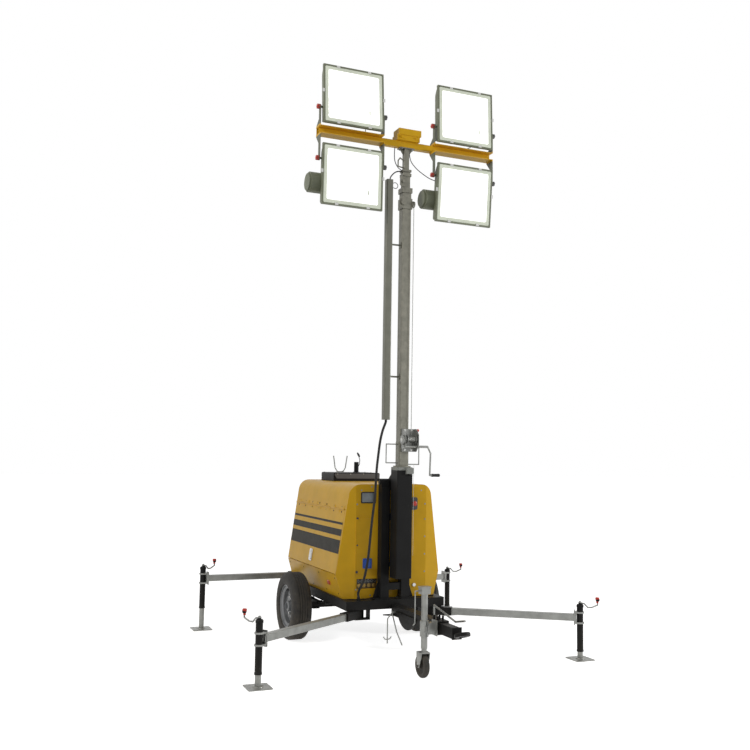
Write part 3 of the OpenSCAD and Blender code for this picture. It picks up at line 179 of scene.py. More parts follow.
RUBBER = material("tyre_rubber", (0.018, 0.017, 0.016), 0.8, vary=0.2, grain=90, bump=0.3,
                  dirt=DUST, dirt_top=0.8, dirt_share=0.3)
CABLE = material("cable_rubber", (0.009, 0.009, 0.009), 0.6, vary=0.2, grain=120, bump=0.2, shine=0.3)
IRON = material("engine_iron", (0.06, 0.065, 0.07), 0.6, metal=0.3, vary=0.2, grain=60, bump=0.3)
GREY = material("stripe_grey", (0.030, 0.028, 0.022), 0.5, vary=0.12, grain=200, bump=0.06, shine=0.1)
PLATE = material("hood_grey", (0.085, 0.085, 0.09), 0.42, vary=0.12, grain=160, bump=0.1)
STEEL = material("bright_steel", (0.55, 0.55, 0.53), 0.28, metal=0.9, vary=0.08, grain=220, bump=0.08)
RIM = material("rim_steel", (0.20, 0.205, 0.21), 0.42, metal=0.6, vary=0.14, vary_scale=12, grain=140,
               bump=0.15)
# The brackets' bases on the light bar are yellow
OLIVE = material("bracket_olive", (0.13, 0.14, 0.10), 0.5, vary=0.14, vary_scale=9, grain=90, bump=0.2,
                 zones=(((-0.9, 0.9), (4.585, 4.680), AMBER),))
# The turn lock's ring and pin on the column are bare metal
COLUMN = material("column_black", (0.010, 0.010, 0.010), 0.45, vary=0.25, grain=180, bump=0.12, shine=0.12,
                  zones=(((-0.09, 0.09), (1.634, 1.664), BARE), ((0.004, 0.080), (1.600, 1.664), BARE)))
LEAD = material("lead_grey", (0.06, 0.058, 0.065), 0.5, vary=0.15, grain=150, bump=0.1)
RED = material("lens_red", (0.42, 0.015, 0.01), 0.22, vary=0.06, grain=90, bump=0.05, coat=0.5)
ORANGE = material("reflector_orange", (0.55, 0.07, 0.01), 0.25, vary=0.08, grain=400, bump=0.3, coat=0.4)
SOCKET = material("socket_lid", (0.03, 0.11, 0.48), 0.36, vary=0.08, grain=150, bump=0.08)
KNOB = material("knob_red", (0.55, 0.03, 0.015), 0.38, vary=0.1, grain=120, bump=0.1)
GLASS = material("lit_glass", (1.0, 1.0, 0.98), 0.15, vary=0.02, grain=300, bump=0.25, glow=0.95)
RIM_GLASS = material("glass_edge", (0.62, 0.66, 0.55), 0.2, vary=0.1, grain=200, bump=0.2, glow=0.25)
PANE = material("window_pane", (0.13, 0.16, 0.17), 0.12, vary=0.25, vary_scale=18, grain=60, bump=0.03,
                coat=0.8)
BRASS = material("brass", (0.30, 0.20, 0.06), 0.4, metal=0.7, vary=0.2, grain=120, bump=0.1)
# Fittings of the front panel: blue socket, pale lock, brown outlets, grey instruments
PANEL = material("panel_parts", (0.03, 0.03, 0.032), 0.42, vary=0.2, vary_scale=30, grain=150, bump=0.08,
                 zones=(((-0.290, -0.190), (0.735, 0.850), (0.03, 0.10, 0.42)),
                        ((0.205, 0.260), (0.560, 0.605), (0.42, 0.42, 0.40)),
                        ((-0.345, -0.120), (0.562, 0.611), (0.10, 0.065, 0.022)),
                        ((-0.320, -0.150), (1.320, 1.440), (0.10, 0.12, 0.13))))

NODE_LOOKS = {
    YELLOW: ("canopy_front", "canopy_rear", "canopy_roof", "canopy_skirts", "side_door_left",
             "side_door_right", "light_bar", "junction_box"),
    BLACK: ("chassis_frame", "drawbar", "towing_eye", "axle_beam", "leaf_springs", "roof_hood", "exhaust",
            "mast_post", "jack_front_left", "jack_front_right", "jack_rear_left", "jack_rear_right",
            "arm_pivot_left", "arm_pivot_right"),
    ZINC: ("mast_cradle", "mast_handles", "mast_winch", "winch_rope", "jockey_holder", "jockey_stem",
           "jockey_fork", "arm_front_left", "arm_front_right", "arm_rear_left", "arm_rear_right",
           "leg_front_left", "leg_front_right", "leg_rear_left", "leg_rear_right", "drawbar_fittings"),
    COLUMN: ("mast_base",),
    OLIVE: ("lamp_brackets",),
    RIM: ("rim_left", "rim_right"),
    GALV: ("mast_section_1", "mast_section_2", "mast_section_3"),
    DUCT: ("cable_duct",),
    HOUSING: ("floodlight_upper_left", "floodlight_lower_left", "floodlight_upper_right",
              "floodlight_lower_right"),
    RUBBER: ("tyre_left", "tyre_right", "jockey_wheel"),
    CABLE: ("power_cable_lower", "power_cable_upper"),
    IRON: ("power_unit",),
    PANEL: ("panel_fittings",),
    RED: ("rear_lamps",),
}
for look, names in NODE_LOOKS.items():
    for name in names:
        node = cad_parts[name]
        node.data.materials.clear()
        node.data.materials.append(look)

# Shapes: each is a list of points and a list of faces
FORWARD, UPWARD, DOWNWARD = (0, -1, 0), (0, 0, 1), (0, 0, -1)
BOX_FACES = [(0, 1, 2, 3), (4, 7, 6, 5), (0, 4, 5, 1), (1, 5, 6, 2), (2, 6, 7, 3), (3, 7, 4, 0)]


def moved(shape, matrix):
    return [matrix @ Vector(v) for v in shape[0]], shape[1]


def joined(shapes):
    points, faces = [], []
    for p, f in shapes:
        faces += [tuple(i + len(points) for i in face) for face in f]
        points += list(p)
    return points, faces


def lathe(profile, n=20):
    """Turned shape round Z from (radius, height) rows; a radius of 0 closes an end."""
    points, faces, rows = [], [], []
    for r, z in profile:
        if r < 1e-7:
            rows.append([len(points)] * n)
            points.append((0, 0, z))
        else:
            rows.append([len(points) + k for k in range(n)])
            points += [(r * math.cos(math.tau * k / n), r * math.sin(math.tau * k / n), z) for k in range(n)]
    for low, high in zip(rows, rows[1:]):
        for k in range(n):
            face = []
            for i in (low[k], low[(k + 1) % n], high[(k + 1) % n], high[k]):
                if i not in face:
                    face.append(i)
            if len(face) > 2:
                faces.append(tuple(face))
    return points, faces


def slab(outline, z0, z1):
    """Plate with that outline between two heights."""
    n = len(outline)
    points = [(x, y, z0) for x, y in outline] + [(x, y, z1) for x, y in outline]
    faces = [tuple(range(n - 1, -1, -1)), tuple(range(n, 2 * n))]
    return points, faces + [(i, (i + 1) % n, n + (i + 1) % n, n + i) for i in range(n)]


def round_rect(w, h, r, n=5):
    """Outline of a rectangle with round corners, centred on the origin."""
    rows = []
    for k, (x, y) in enumerate(((1, 1), (-1, 1), (-1, -1), (1, -1))):
        for i in range(n + 1):
            a = math.radians(90 * (k + i / n))
            rows.append((x * (w / 2 - r) + r * math.cos(a), y * (h / 2 - r) + r * math.sin(a)))
    return rows


def pillow(w, h, t, r, lip):
    """Rounded plate whose front edge is chamfered by lip."""
    a, b = round_rect(w, h, r), round_rect(w - 2 * lip, h - 2 * lip, max(r - lip, 0.0005))
    n = len(a)
    points = [(x, y, 0) for x, y in a] + [(x, y, t - lip) for x, y in a] + [(x, y, t) for x, y in b]
    faces = [tuple(range(n - 1, -1, -1)), tuple(range(2 * n, 3 * n))]
    for base in (0, n):
        faces += [(base + i, base + (i + 1) % n, base + n + (i + 1) % n, base + n + i) for i in range(n)]
    return points, faces


def flat_ring(outer, inner, t):
    """Flat ring between two outlines that have the same number of points."""
    n = len(outer)
    points = [(x, y, z) for z in (0, t) for row in (outer, inner) for x, y in row]
    faces = []
    for i in range(n):
        k = (i + 1) % n
        faces += [(i, k, n + k, n + i), (2 * n + i, 3 * n + i, 3 * n + k, 2 * n + k),
                  (i, 2 * n + i, 2 * n + k, k), (n + i, n + k, 3 * n + k, 3 * n + i)]
    return points, faces


def tube(path, r, n=12):
    """Round bar along a path, with a flat cap at each end."""
    path = [Vector(p) for p in path]
    points, faces = [], []
    side = None
    for i, p in enumerate(path):
        a = path[max(i - 1, 0)]
        b = path[min(i + 1, len(path) - 1)]
        way = (b - a).normalized()
        if side is None:
            side = way.orthogonal().normalized()
        side = (side - way * side.dot(way)).normalized()
        other = way.cross(side)
        points += [p + r * (math.cos(math.tau * k / n) * side + math.sin(math.tau * k / n) * other)
                   for k in range(n)]
    for i in range(len(path) - 1):
        low, high = i * n, (i + 1) * n
        faces += [(low + k, low + (k + 1) % n, high + (k + 1) % n, high + k) for k in range(n)]
    faces += [tuple(range(n - 1, -1, -1)), tuple(range(len(points) - n, len(points)))]
    return points, faces


def curve_points(route, steps):
    """Smooth path through the route's points."""
    route = [Vector(p) for p in route]
    out = []
    last = len(route) - 1
    for i in range(steps + 1):
        t = i / steps * last
        k = min(int(t), last - 1)
        f = t - k
        a, b, c, d = route[max(k - 1, 0)], route[k], route[k + 1], route[min(k + 2, last)]
        out.append(0.5 * ((2 * b) + (c - a) * f + (2 * a - 5 * b + 4 * c - d) * f * f
                          + (3 * b - a - 3 * c + d) * f ** 3))
    return out


def facing(at, towards, up=(0, 0, 1)):
    """Matrix whose Z points towards a direction, placed at a point, with its Y as near as may be to up."""
    z = Vector(towards).normalized()
    x = Vector(up).cross(z)
    x = x.normalized() if x.length > 1e-6 else Vector((1, 0, 0))
    y = z.cross(x)
    m = Matrix((x, y, z)).transposed().to_4x4()
    return Matrix.Translation(Vector(at)) @ m


def piece(name, shapes, look, body=None, sharp=35):
    """One mesh object made of the shapes; edges bent by more than sharp degrees stay crisp."""
    points, faces = joined(shapes)
    mesh = bpy.data.meshes.new(name)
    mesh.from_pydata([tuple(p) for p in points], [], faces)
    bm = bmesh.new()
    bm.from_mesh(mesh)
    bmesh.ops.recalc_face_normals(bm, faces=bm.faces)
    bm.to_mesh(mesh)
    bm.free()
    mesh.polygons.foreach_set("use_smooth", [True] * len(mesh.polygons))
    mesh.set_sharp_from_angle(angle=math.radians(sharp))
    mesh.materials.append(look)
    obj = bpy.data.objects.new(name, mesh)
    scene.collection.objects.link(obj)
    if body:
        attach(obj, body)
    return obj


def screw(at, normal, r=0.006, h=0.0035):
    """Domed screw head with its washer."""
    rows = [(0, -0.002), (r * 1.45, -0.002), (r * 1.45, h * 0.35), (r, h * 0.4), (r * 0.85, h * 0.8),
            (r * 0.4, h), (0, h)]
    return moved(lathe(rows, 12), facing(at, normal))


def hex_bolt(at, normal, r=0.009, h=0.007):
    """Hexagon head on a washer."""
    washer = lathe([(0, -0.002), (r * 1.5, -0.002), (r * 1.5, 0.0015), (0, 0.0015)], 16)
    head = lathe([(0, 0), (r, 0), (r, h * 0.8), (r * 0.8, h), (0, h)], 6)
    return moved(joined([washer, head]), facing(at, normal))


def ball_knob(at, up, r):
    """Ball grip with a short neck."""
    rows = [(0, -r * 1.25), (r * 0.55, -r * 1.25), (r * 0.55, -r * 0.8)]
    rows += [(r * math.cos(math.radians(a)), r * math.sin(math.radians(a))) for a in range(-52, 90, 14)]
    return moved(lathe(rows + [(0, r)], 20), facing(at, up))


def lobed_knob(at, out, r, h):
    """Clamping knob with six lobes."""
    lobe, steps = 0.0032, 48
    angles = [math.tau * k / steps for k in range(steps)]
    outline = [((r + lobe * math.cos(6 * a)) * math.cos(a), (r + lobe * math.cos(6 * a)) * math.sin(a))
               for a in angles]
    cap = lathe([(0, h), (r * 0.55, h), (r * 0.45, h + 0.003), (0, h + 0.003)], 16)
    return moved(joined([slab(outline, 0, h), cap]), facing(at, out))


# Sizes that part.scad also holds, in metres
WAIST, HINGE_Z, ROOF_Z, SILL_Z = 0.690, 1.268, 1.500, 0.480
WAIST_HALF, EAVE_HALF, SILL_HALF = 0.515, 0.400, 0.455
FRONT_Y, REAR_Y = -0.085, 1.385
SLOPE = (WAIST_HALF - EAVE_HALF) / (ROOF_Z - WAIST)
BAR_Z, BAR_Y, LAMP_FACE_Y, PIVOT_DEPTH = 4.632, -0.298, -0.415, 0.050
LAMP_W, LAMP_H, LAMP_X = 0.580, 0.547, 0.565
# Lamps: side, above or below the bar, clearance to the bar, pivot inside the frame, tilt in degrees
LAMPS = {"upper_left": (-1, 1, 0.049, 0.156, -4), "lower_left": (-1, -1, 0.1315, 0.1305, 1),
         "upper_right": (1, 1, 0.049, 0.156, -2), "lower_right": (1, -1, 0.1465, 0.1155, 5)}


def half_at(z):
    """Half width of the canopy at a height."""
    if z >= WAIST:
        return WAIST_HALF - SLOPE * (z - WAIST)
    return WAIST_HALF - (WAIST_HALF - SILL_HALF) * (WAIST - z) / (WAIST - SILL_Z)


def side_normal(s, z):
    if z >= WAIST:
        return Vector((s, 0, SLOPE))
    return Vector((s, 0, -(WAIST_HALF - SILL_HALF) / (WAIST - SILL_Z)))


def on_side(s, y, z, off=0.0):
    """Point on the canopy's side face, off metres out of it."""
    n = side_normal(s, z).normalized()
    return Vector((s * half_at(z), y, z)) + n * off


def on_front(x, z, off=0.0):
    """Matrix on the canopy's front sheet, off metres out of it, with its Z pointing forward."""
    return facing((x, FRONT_Y - off, z), FORWARD)


# Canopy, its sides: doors, stripes and fittings as (y, z) places
DOOR_Y = (-0.017, REAR_Y)
STRIPES = ((1.131, 1.152), (1.030, 1.090), (0.872, 0.994))
STRIPE_THICK, STRIPE_GAP_FRONT, STRIPE_GAP_REAR = 0.0005, 0.002, 0.004
HINGE_SCREWS, HINGE_FIRST, HINGE_PITCH, LEAF_MIDDLE = 7, 0.075, 0.205, 0.024
LATCH_AT, LATCH_SEAT = (0.695, 0.795), 0.0035
REFLECTOR_AT = (0.215, 0.593)
SMALL_SCREW = (0.005, 0.003)
SKIRT_SCREWS = ((0.02, 0.515), (0.33, 0.515), (0.70, 0.515), (1.05, 0.515), (1.34, 0.515),
                (0.02, 0.655), (0.45, 0.655), (0.90, 0.655), (1.34, 0.655))


def add_stripes(side, s):
    front, rear = DOOR_Y[0] + STRIPE_GAP_FRONT, DOOR_Y[1] - STRIPE_GAP_REAR
    strips = []
    for low, high in STRIPES:
        corners = [on_side(s, y, z, off) for off in (0.0, STRIPE_THICK)
                   for y, z in ((front, low), (rear, low), (rear, high), (front, high))]
        strips.append((corners, BOX_FACES))
    piece(f"stripes_{side}", strips, GREY, f"door_{side}")


def add_hinge_screws(side, s):
    rows = [DOOR_Y[0] + HINGE_FIRST + i * HINGE_PITCH for i in range(HINGE_SCREWS)]
    out = side_normal(s, HINGE_Z)
    for leaf, z, body in (("door", HINGE_Z - LEAF_MIDDLE, f"door_{side}"),
                          ("roof", HINGE_Z + LEAF_MIDDLE, "chassis")):
        screws = [screw(on_side(s, y, z), out) for y in rows]
        piece(f"hinge_screws_{leaf}_{side}", screws, BLACK, body)


def add_latch(side, s):
    """Paddle latch over its seat on the door, with a lock barrel above."""
    y, z = LATCH_AT
    turn = facing(on_side(s, y, z, LATCH_SEAT), side_normal(s, z))
    plate = moved(pillow(0.079, 0.113, 0.0045, 0.011, 0.0015), turn)
    paddle = moved(pillow(0.052, 0.064, 0.010, 0.008, 0.002), turn @ Matrix.Translation((0, -0.012, 0)))
    barrel = moved(lathe([(0, 0), (0.011, 0), (0.011, 0.008), (0.008, 0.0095), (0, 0.0095)], 18),
                   turn @ Matrix.Translation((0, 0.036, 0)))
    piece(f"door_latch_{side}", [plate, paddle, barrel], STEEL, f"door_{side}")


def add_skirt_fittings(side, s):
    """Side reflector and the skirt's screws."""
    y, z = REFLECTOR_AT
    out = side_normal(s, z)
    lens = moved(pillow(0.075, 0.038, 0.007, 0.006, 0.002), facing(on_side(s, y, z), out))
    piece(f"side_reflector_{side}", [lens], ORANGE, "chassis")
    screws = [screw(on_side(s, y, z), out, *SMALL_SCREW) for y, z in SKIRT_SCREWS]
    piece(f"skirt_screws_{side}", screws, BLACK, "chassis")


# Canopy, its front sheet: places as (x, z)
EDGE_X, EDGE_ROWS = 0.340, (0.56, 0.70, 0.86, 1.02, 1.18, 1.32)
CORNER_X, CORNER_Z = 0.300, 1.445
MIDDLE_X, MIDDLE_ROWS = 0.20, (1.478, 0.505)
COVER_X, COVER_ROWS, COVER_OUT = (-0.102, -0.336), (0.716, 0.954, 1.192), 0.003
WINDOW_X, WINDOW_Z = (-0.299, -0.165), (1.335, 1.425)
STOP_AT, LOCK_AT, SOCKET_AT = (0.221, 1.324), (0.234, 0.583), (-0.238, 0.791)
# Rows in the outlet opening: number, first x, pitch, z, depth behind the sheet
RING_ROW = (6, -0.312, 0.032, 0.633, 0.0125)
NUT_ROW = (4, -0.306, 0.049, 0.592, 0.0155)


def add_front_screws():
    """Screws round the front sheet, and bolts of the cover."""
    places = []
    for s in (-1, 1):
        places += [(s * EDGE_X, z) for z in EDGE_ROWS] + [(s * CORNER_X, CORNER_Z)]
    places += [(x, z) for x in (-MIDDLE_X, MIDDLE_X) for z in MIDDLE_ROWS]
    screws = [screw((x, FRONT_Y, z), FORWARD, *SMALL_SCREW) for x, z in places]
    piece("front_screws", screws, ZINC, "chassis")
    bolts = [hex_bolt((x, FRONT_Y - COVER_OUT, z), FORWARD, 0.008, 0.006)
             for x in COVER_X for z in COVER_ROWS]
    piece("cover_bolts", bolts, IRON, "chassis")


def add_window():
    """Gasket and pane of the control window."""
    (x0, x1), (z0, z1) = WINDOW_X, WINDOW_Z
    w, h = x1 - x0, z1 - z0
    middle = (x0 + x1) / 2, (z0 + z1) / 2
    gasket = flat_ring(round_rect(w + 0.012, h + 0.012, 0.010), round_rect(w - 0.006, h - 0.006, 0.006), 0.003)
    piece("window_gasket", [moved(gasket, on_front(*middle, 0.0005))], CABLE, "chassis")
    pane = pillow(w - 0.002, h - 0.002, 0.003, 0.004, 0.0005)
    piece("window_glass", [moved(pane, on_front(*middle, -0.004))], PANE, "chassis")


def add_stop_button():
    """Mushroom button of the emergency stop."""
    rows = [(0, 0.022), (0.0245, 0.022), (0.026, 0.027), (0.024, 0.034), (0.016, 0.0375), (0, 0.0385)]
    piece("stop_button", [moved(lathe(rows, 28), on_front(*STOP_AT))], KNOB, "chassis")


def repeated(shape, row):
    count, first, pitch, z, depth = row
    return [moved(shape, on_front(first + i * pitch, z, -depth)) for i in range(count)]


def add_outlets():
    """Rings and nuts of the outlets."""
    ring = lathe([(0.0115, 0), (0.0115, 0.0015), (0.0085, 0.0015), (0.0085, -0.004), (0, -0.004)], 18)
    piece("outlet_rings", repeated(ring, RING_ROW), ZINC, "chassis")
    nut = lathe([(0.0195, 0), (0.0195, 0.002), (0.015, 0.003), (0.006, 0.003), (0.006, 0.006), (0, 0.006)], 6)
    piece("outlet_nuts", repeated(nut, NUT_ROW), BRASS, "chassis")


def add_lock():
    """Round lock with its key slot."""
    at = on_front(*LOCK_AT, 0.0055)
    rows = [(0, 0.0), (0.0155, 0.0), (0.017, 0.002), (0.0155, 0.005), (0.010, 0.005), (0.009, 0.003), (0, 0.003)]
    slot = pillow(0.003, 0.010, 0.0045, 0.001, 0.0005)
    piece("door_lock", [moved(lathe(rows, 24), at), moved(slot, at)], STEEL, "chassis")


def add_socket_lid():
    """Round lid and its hinge."""
    at = on_front(*SOCKET_AT, 0.0400)
    lid = lathe([(0, 0), (0.0295, 0), (0.0285, 0.003), (0.020, 0.005), (0, 0.005)], 28)
    hinge = moved(pillow(0.028, 0.012, 0.008, 0.003, 0.001), at @ Matrix.Translation((0, 0.030, -0.006)))
    piece("socket_lid", [moved(lid, at), hinge], SOCKET, "chassis")


def add_canopy():
    for side, s in (("left", -1), ("right", 1)):
        add_stripes(side, s)
        add_hinge_screws(side, s)
        add_latch(side, s)
        add_skirt_fittings(side, s)
    add_front_screws()
    add_window()
    add_stop_button()
    add_outlets()
    add_lock()
    add_socket_lid()


# Roof hood: outline of its grey plate over the roof, and screws
HOOD_PLATE = ((-0.216, 0.026), (0.240, 0.026), (0.240, 0.076), (-0.236, 0.076), (-0.242, 0.062))
HOOD_PLATE_THICK = 0.0012
HOOD_FRONT_X, HOOD_FRONT_Z, HOOD_TOP_X = (-0.21, -0.07, 0.07, 0.21), 0.070, (-0.225, 0.225)


def add_hood():
    low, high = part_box("roof_hood")
    front, rear, top = low[1], high[1], high[2]
    plate = moved(slab(HOOD_PLATE, 0, HOOD_PLATE_THICK), facing((0, front, ROOF_Z), FORWARD))
    piece("hood_front_plate", [plate], PLATE, "chassis")
    screws = [screw((x, front - HOOD_PLATE_THICK, ROOF_Z + HOOD_FRONT_Z), FORWARD, 0.0045, 0.003)
              for x in HOOD_FRONT_X]
    screws += [screw((x, y, top), UPWARD) for x in HOOD_TOP_X
               for y in (front + 0.03, (front + rear) / 2, rear - 0.02)]
    piece("hood_screws", screws, ZINC, "chassis")


# Wheels
AXLE_Y, TYRE_R, TRACK = 0.695, 0.316, 0.667
TYRE_HALF, TREAD_R, GROOVE_R = 0.0935, 0.3157, 0.3085
SHOULDER_R, SHOULDER_HALF = 0.3145, 0.058
GROOVES, GROOVE_TOP, GROOVE_FOOT = (-0.036, -0.012, 0.012, 0.036), 0.004, 0.0028
NUT_COUNT, NUT_CIRCLE, NUT_START, NUT_OUT = 5, 0.080, 0.3, 0.0255
VALVE = ((0.150, 0, 0.045), (0.150, 0, 0.066), (0.146, 0, 0.078))


def tyre_section():
    """Closed section of the tyre as (radius, offset) rows, with four grooves in its tread."""
    side = [(0.198, -TYRE_HALF + 0.018), (0.206, -TYRE_HALF + 0.006), (0.222, -TYRE_HALF + 0.003),
            (0.246, -TYRE_HALF + 0.0005), (0.272, -TYRE_HALF + 0.002), (0.292, -TYRE_HALF + 0.008),
            (0.306, -TYRE_HALF + 0.019)]
    tread = []
    for g in GROOVES:
        tread += [(TREAD_R, g - GROOVE_TOP), (GROOVE_R, g - GROOVE_FOOT), (GROOVE_R, g + GROOVE_FOOT),
                  (TREAD_R, g + GROOVE_TOP)]
    rows = side + [(SHOULDER_R, -SHOULDER_HALF)] + tread + [(SHOULDER_R, SHOULDER_HALF)]
    rows += [(r, -z) for r, z in reversed(side)]
    return rows + [rows[0]]


def add_wheels():
    for name, s in (("left", -1), ("right", 1)):
        turn = Matrix.Translation((s * TRACK, AXLE_Y, TYRE_R)) @ Matrix.Rotation(math.radians(90 * s), 4, "Y")
        body = f"wheel_{name}"
        tyre = piece(f"road_tyre_{name}", [moved(lathe(tyre_section(), 44), turn)], RUBBER, body,
                     sharp=28)
        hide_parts(f"tyre_{name}")
        nuts = []
        for k in range(NUT_COUNT):
            a = math.tau * k / NUT_COUNT + NUT_START
            at = turn @ Vector((NUT_CIRCLE * math.cos(a), NUT_CIRCLE * math.sin(a), NUT_OUT))
            nuts.append(hex_bolt(at, (s, 0, 0), 0.0105, 0.014))
        piece(f"wheel_nuts_{name}", nuts, STEEL, body)
        cap = lathe([(0, 0.069), (0.030, 0.069), (0.032, 0.072), (0.026, 0.079), (0.012, 0.083), (0, 0.0835)], 24)
        piece(f"hub_cap_{name}", [moved(cap, turn)], IRON, body)
        valve = tube([turn @ Vector(v) for v in VALVE], 0.0035, 8)
        piece(f"valve_{name}", [valve], CABLE, body)


# Floodlights
FRAME_LIP, GLASS_RIM, GLASS_BACK, GLASS_THICK = 0.030, 0.062, 0.0058, 0.0058
BURNER = ((0, -0.012), (0.004, -0.012), (0.0065, -0.004), (0.0065, 0.010), (0.003, 0.016), (0, 0.016))
BURNER_AT, BURNER_SCALE = (0.150, -0.0012, -0.130), (1.0, 0.12, 1.6, 1)
CLIP_INSET, CLIP_X, CLIP_Z, CLIP_HALF = 0.009, 0.150, 0.02, 0.016
CLIP = ((-0.0035, -0.016), (-0.0035, 0.0035), (0.030, 0.0035), (0.034, 0.0010), (0.030, 0.0010),
        (-0.0008, 0.0010), (-0.0008, -0.016))
KNOB_OUT, KNOB_SIZE = 0.313, (0.019, 0.024)
# Bolts on the bar: those further out than BASE_X stand on the brackets' bases
BAR_BOLTS = (-0.72, -0.565, -0.41, -0.155, 0.165, 0.41, 0.565, 0.72)
BASE_X, BASE_TOP, BAR_TOP = 0.27, 0.0365, 0.030
HEAD_BOLT_X, HEAD_BOLT_Y, HEAD_BOLT_DROP = 0.05, 0.025, 0.038
LID_SCREW_X, LID_SCREW_Y, LID_TOP = (-0.085, 0.112), 0.05, 0.138


def lamp_pivot(name):
    side, up, clear, inward, _ = LAMPS[name]
    return Vector((side * LAMP_X, LAMP_FACE_Y + PIVOT_DEPTH, BAR_Z + up * (clear + inward)))


def lamp_matrix(name):
    """Middle of a lamp's face, tilted about the bracket's pivot."""
    _, up, clear, inward, tilt = LAMPS[name]
    rise = up * (clear + LAMP_H / 2) - up * (clear + inward)
    return (Matrix.Translation(lamp_pivot(name)) @ Matrix.Rotation(math.radians(tilt), 4, "X")
            @ Matrix.Translation((0, -PIVOT_DEPTH, rise)))


def clip_shape():
    n = len(CLIP)
    points = [(s * CLIP_HALF, y, z) for s in (-1, 1) for y, z in CLIP]
    faces = [tuple(range(n)), tuple(range(2 * n - 1, n - 1, -1))]
    return points, faces + [(i, (i + 1) % n, n + (i + 1) % n, n + i) for i in range(n)]


def clip_places():
    """(x, z, turn in degrees) of the frame clips: two above, two below, one on each side."""
    x, z = 0.5 * (LAMP_W - CLIP_INSET), 0.5 * (LAMP_H - CLIP_INSET)
    return ((-CLIP_X, z, 0), (CLIP_X, z, 0), (-CLIP_X, -z, 180), (CLIP_X, -z, 180),
            (-x, CLIP_Z, 90), (x, CLIP_Z, -90))


def add_lamp(name):
    m = lamp_matrix(name)
    front = m @ facing((0, GLASS_BACK, 0), FORWARD)
    w, h = LAMP_W - FRAME_LIP, LAMP_H - FRAME_LIP
    body = f"lamp_{name}"
    rim = moved(pillow(w, h, 0.0035, 0.012, 0.001), front)
    piece(f"glass_edge_{name}", [rim], RIM_GLASS, body)
    glass = moved(pillow(w - GLASS_RIM, h - GLASS_RIM, GLASS_THICK, 0.014, 0.0025), front)
    piece(f"glass_{name}", [glass], GLASS, body)
    # Burner seen through the glass
    place = m @ Matrix.Translation(BURNER_AT) @ Matrix.Diagonal(BURNER_SCALE)
    piece(f"burner_{name}", [moved(lathe(BURNER, 14), place)], RIM_GLASS, body)
    clips = [moved(clip_shape(), m @ Matrix.Translation((x, 0, z)) @ Matrix.Rotation(math.radians(a), 4, "Y"))
             for x, z, a in clip_places()]
    piece(f"glass_clips_{name}", clips, STEEL, body)
    for s, look in ((-1, KNOB), (1, LEAD)):
        end = "inner" if s * LAMPS[name][0] < 0 else "outer"
        knob = lobed_knob(lamp_pivot(name) + Vector((s * KNOB_OUT, 0, 0)), (s, 0, 0), *KNOB_SIZE)
        piece(f"bracket_knob_{name}_{end}", [knob], look, "mast_top")


def add_lamps():
    for name in LAMPS:
        add_lamp(name)
    bolts = []
    for x in BAR_BOLTS:
        top = BASE_TOP if abs(x) > BASE_X else BAR_TOP
        bolts.append(hex_bolt((x, BAR_Y, BAR_Z + top), UPWARD, 0.010, 0.008))
    bolts += [hex_bolt((x, BAR_Y + y, BAR_Z - HEAD_BOLT_DROP), DOWNWARD, 0.008, 0.007)
              for x in (-HEAD_BOLT_X, HEAD_BOLT_X) for y in (-HEAD_BOLT_Y, HEAD_BOLT_Y)]
    piece("bar_bolts", bolts, ZINC, "mast_top")
    screws = [screw((x, y, BAR_Z + LID_TOP), UPWARD, *SMALL_SCREW) for x in LID_SCREW_X
              for y in (BAR_Y - LID_SCREW_Y, BAR_Y + LID_SCREW_Y)]
    piece("box_screws", screws, ZINC, "mast_top")


# Cables
POWER_R = 0.011
UPPER = [(-0.165, -0.298, 2.08299), (-0.165, -0.298, 2.060), (-0.196, -0.304, 1.985), (-0.222, -0.312, 1.890),
         (-0.240, -0.318, 1.770), (-0.254, -0.322, 1.660), (-0.260, -0.322, 1.565)]
LOWER = [(-0.260, -0.322, 1.5649), (-0.268, -0.320, 1.400), (-0.292, -0.310, 1.150), (-0.316, -0.298, 0.850),
         (-0.336, -0.250, 0.660), (-0.352, -0.180, 0.560), (-0.352, -0.180, 0.51)]
LOOP_X, LOOP_Y, LOOP_Z, LOOP_R = -0.104, -0.298, 4.240, 0.027
# Small cords: name, radius, look, the two bodies at their ends, stiffness, route
SMALL_CORDS = (
    ("duct_cable", 0.0055, CABLE, ("mast_outer", "mast_middle"), "stiff",
     [(-0.160, -0.298, 4.286), (-0.150, -0.298, 4.315), (-0.128, -0.298, 4.345), (-0.093, -0.298, 4.372),
      (-0.040, -0.298, 4.384)]),
    ("bar_cable", 0.0040, LEAD, ("mast_middle", "mast_top"), "medium",
     [(-0.042, -0.302, 4.390), (-0.080, -0.300, 4.415), (-0.110, -0.298, 4.470), (-0.116, -0.298, 4.540),
      (-0.113, -0.298, 4.600)]),
    ("lead_lower_right", 0.0040, LEAD, ("mast_top", "lamp_lower_right"), "medium",
     [(0.030, -0.300, 4.600), (0.045, -0.305, 4.500), (0.085, -0.315, 4.438), (0.140, -0.330, 4.388),
      (0.215, -0.350, 4.338), (0.272, -0.362, 4.318)]),
    ("lead_upper_right", 0.0035, LEAD, ("lamp_upper_right", "mast_top"), "medium",
     [(0.655, -0.345, 4.700), (0.620, -0.335, 4.684), (0.570, -0.315, 4.676), (0.523, -0.300, 4.669)]),
    ("lead_upper_left", 0.0035, LEAD, ("lamp_upper_left", "mast_top"), "medium",
     [(-0.424, -0.342, 4.712), (-0.421, -0.328, 4.698), (-0.417, -0.312, 4.684), (-0.416, -0.300, 4.668)]),
    ("hand_wire", 0.0014, STEEL, ("mast_outer", "mast_foot"), "limp",
     [(0.120, -0.298, 1.685), (0.130, -0.276, 1.480), (0.146, -0.240, 1.200), (0.160, -0.212, 1.000),
      (0.170, -0.190, 0.860)]))


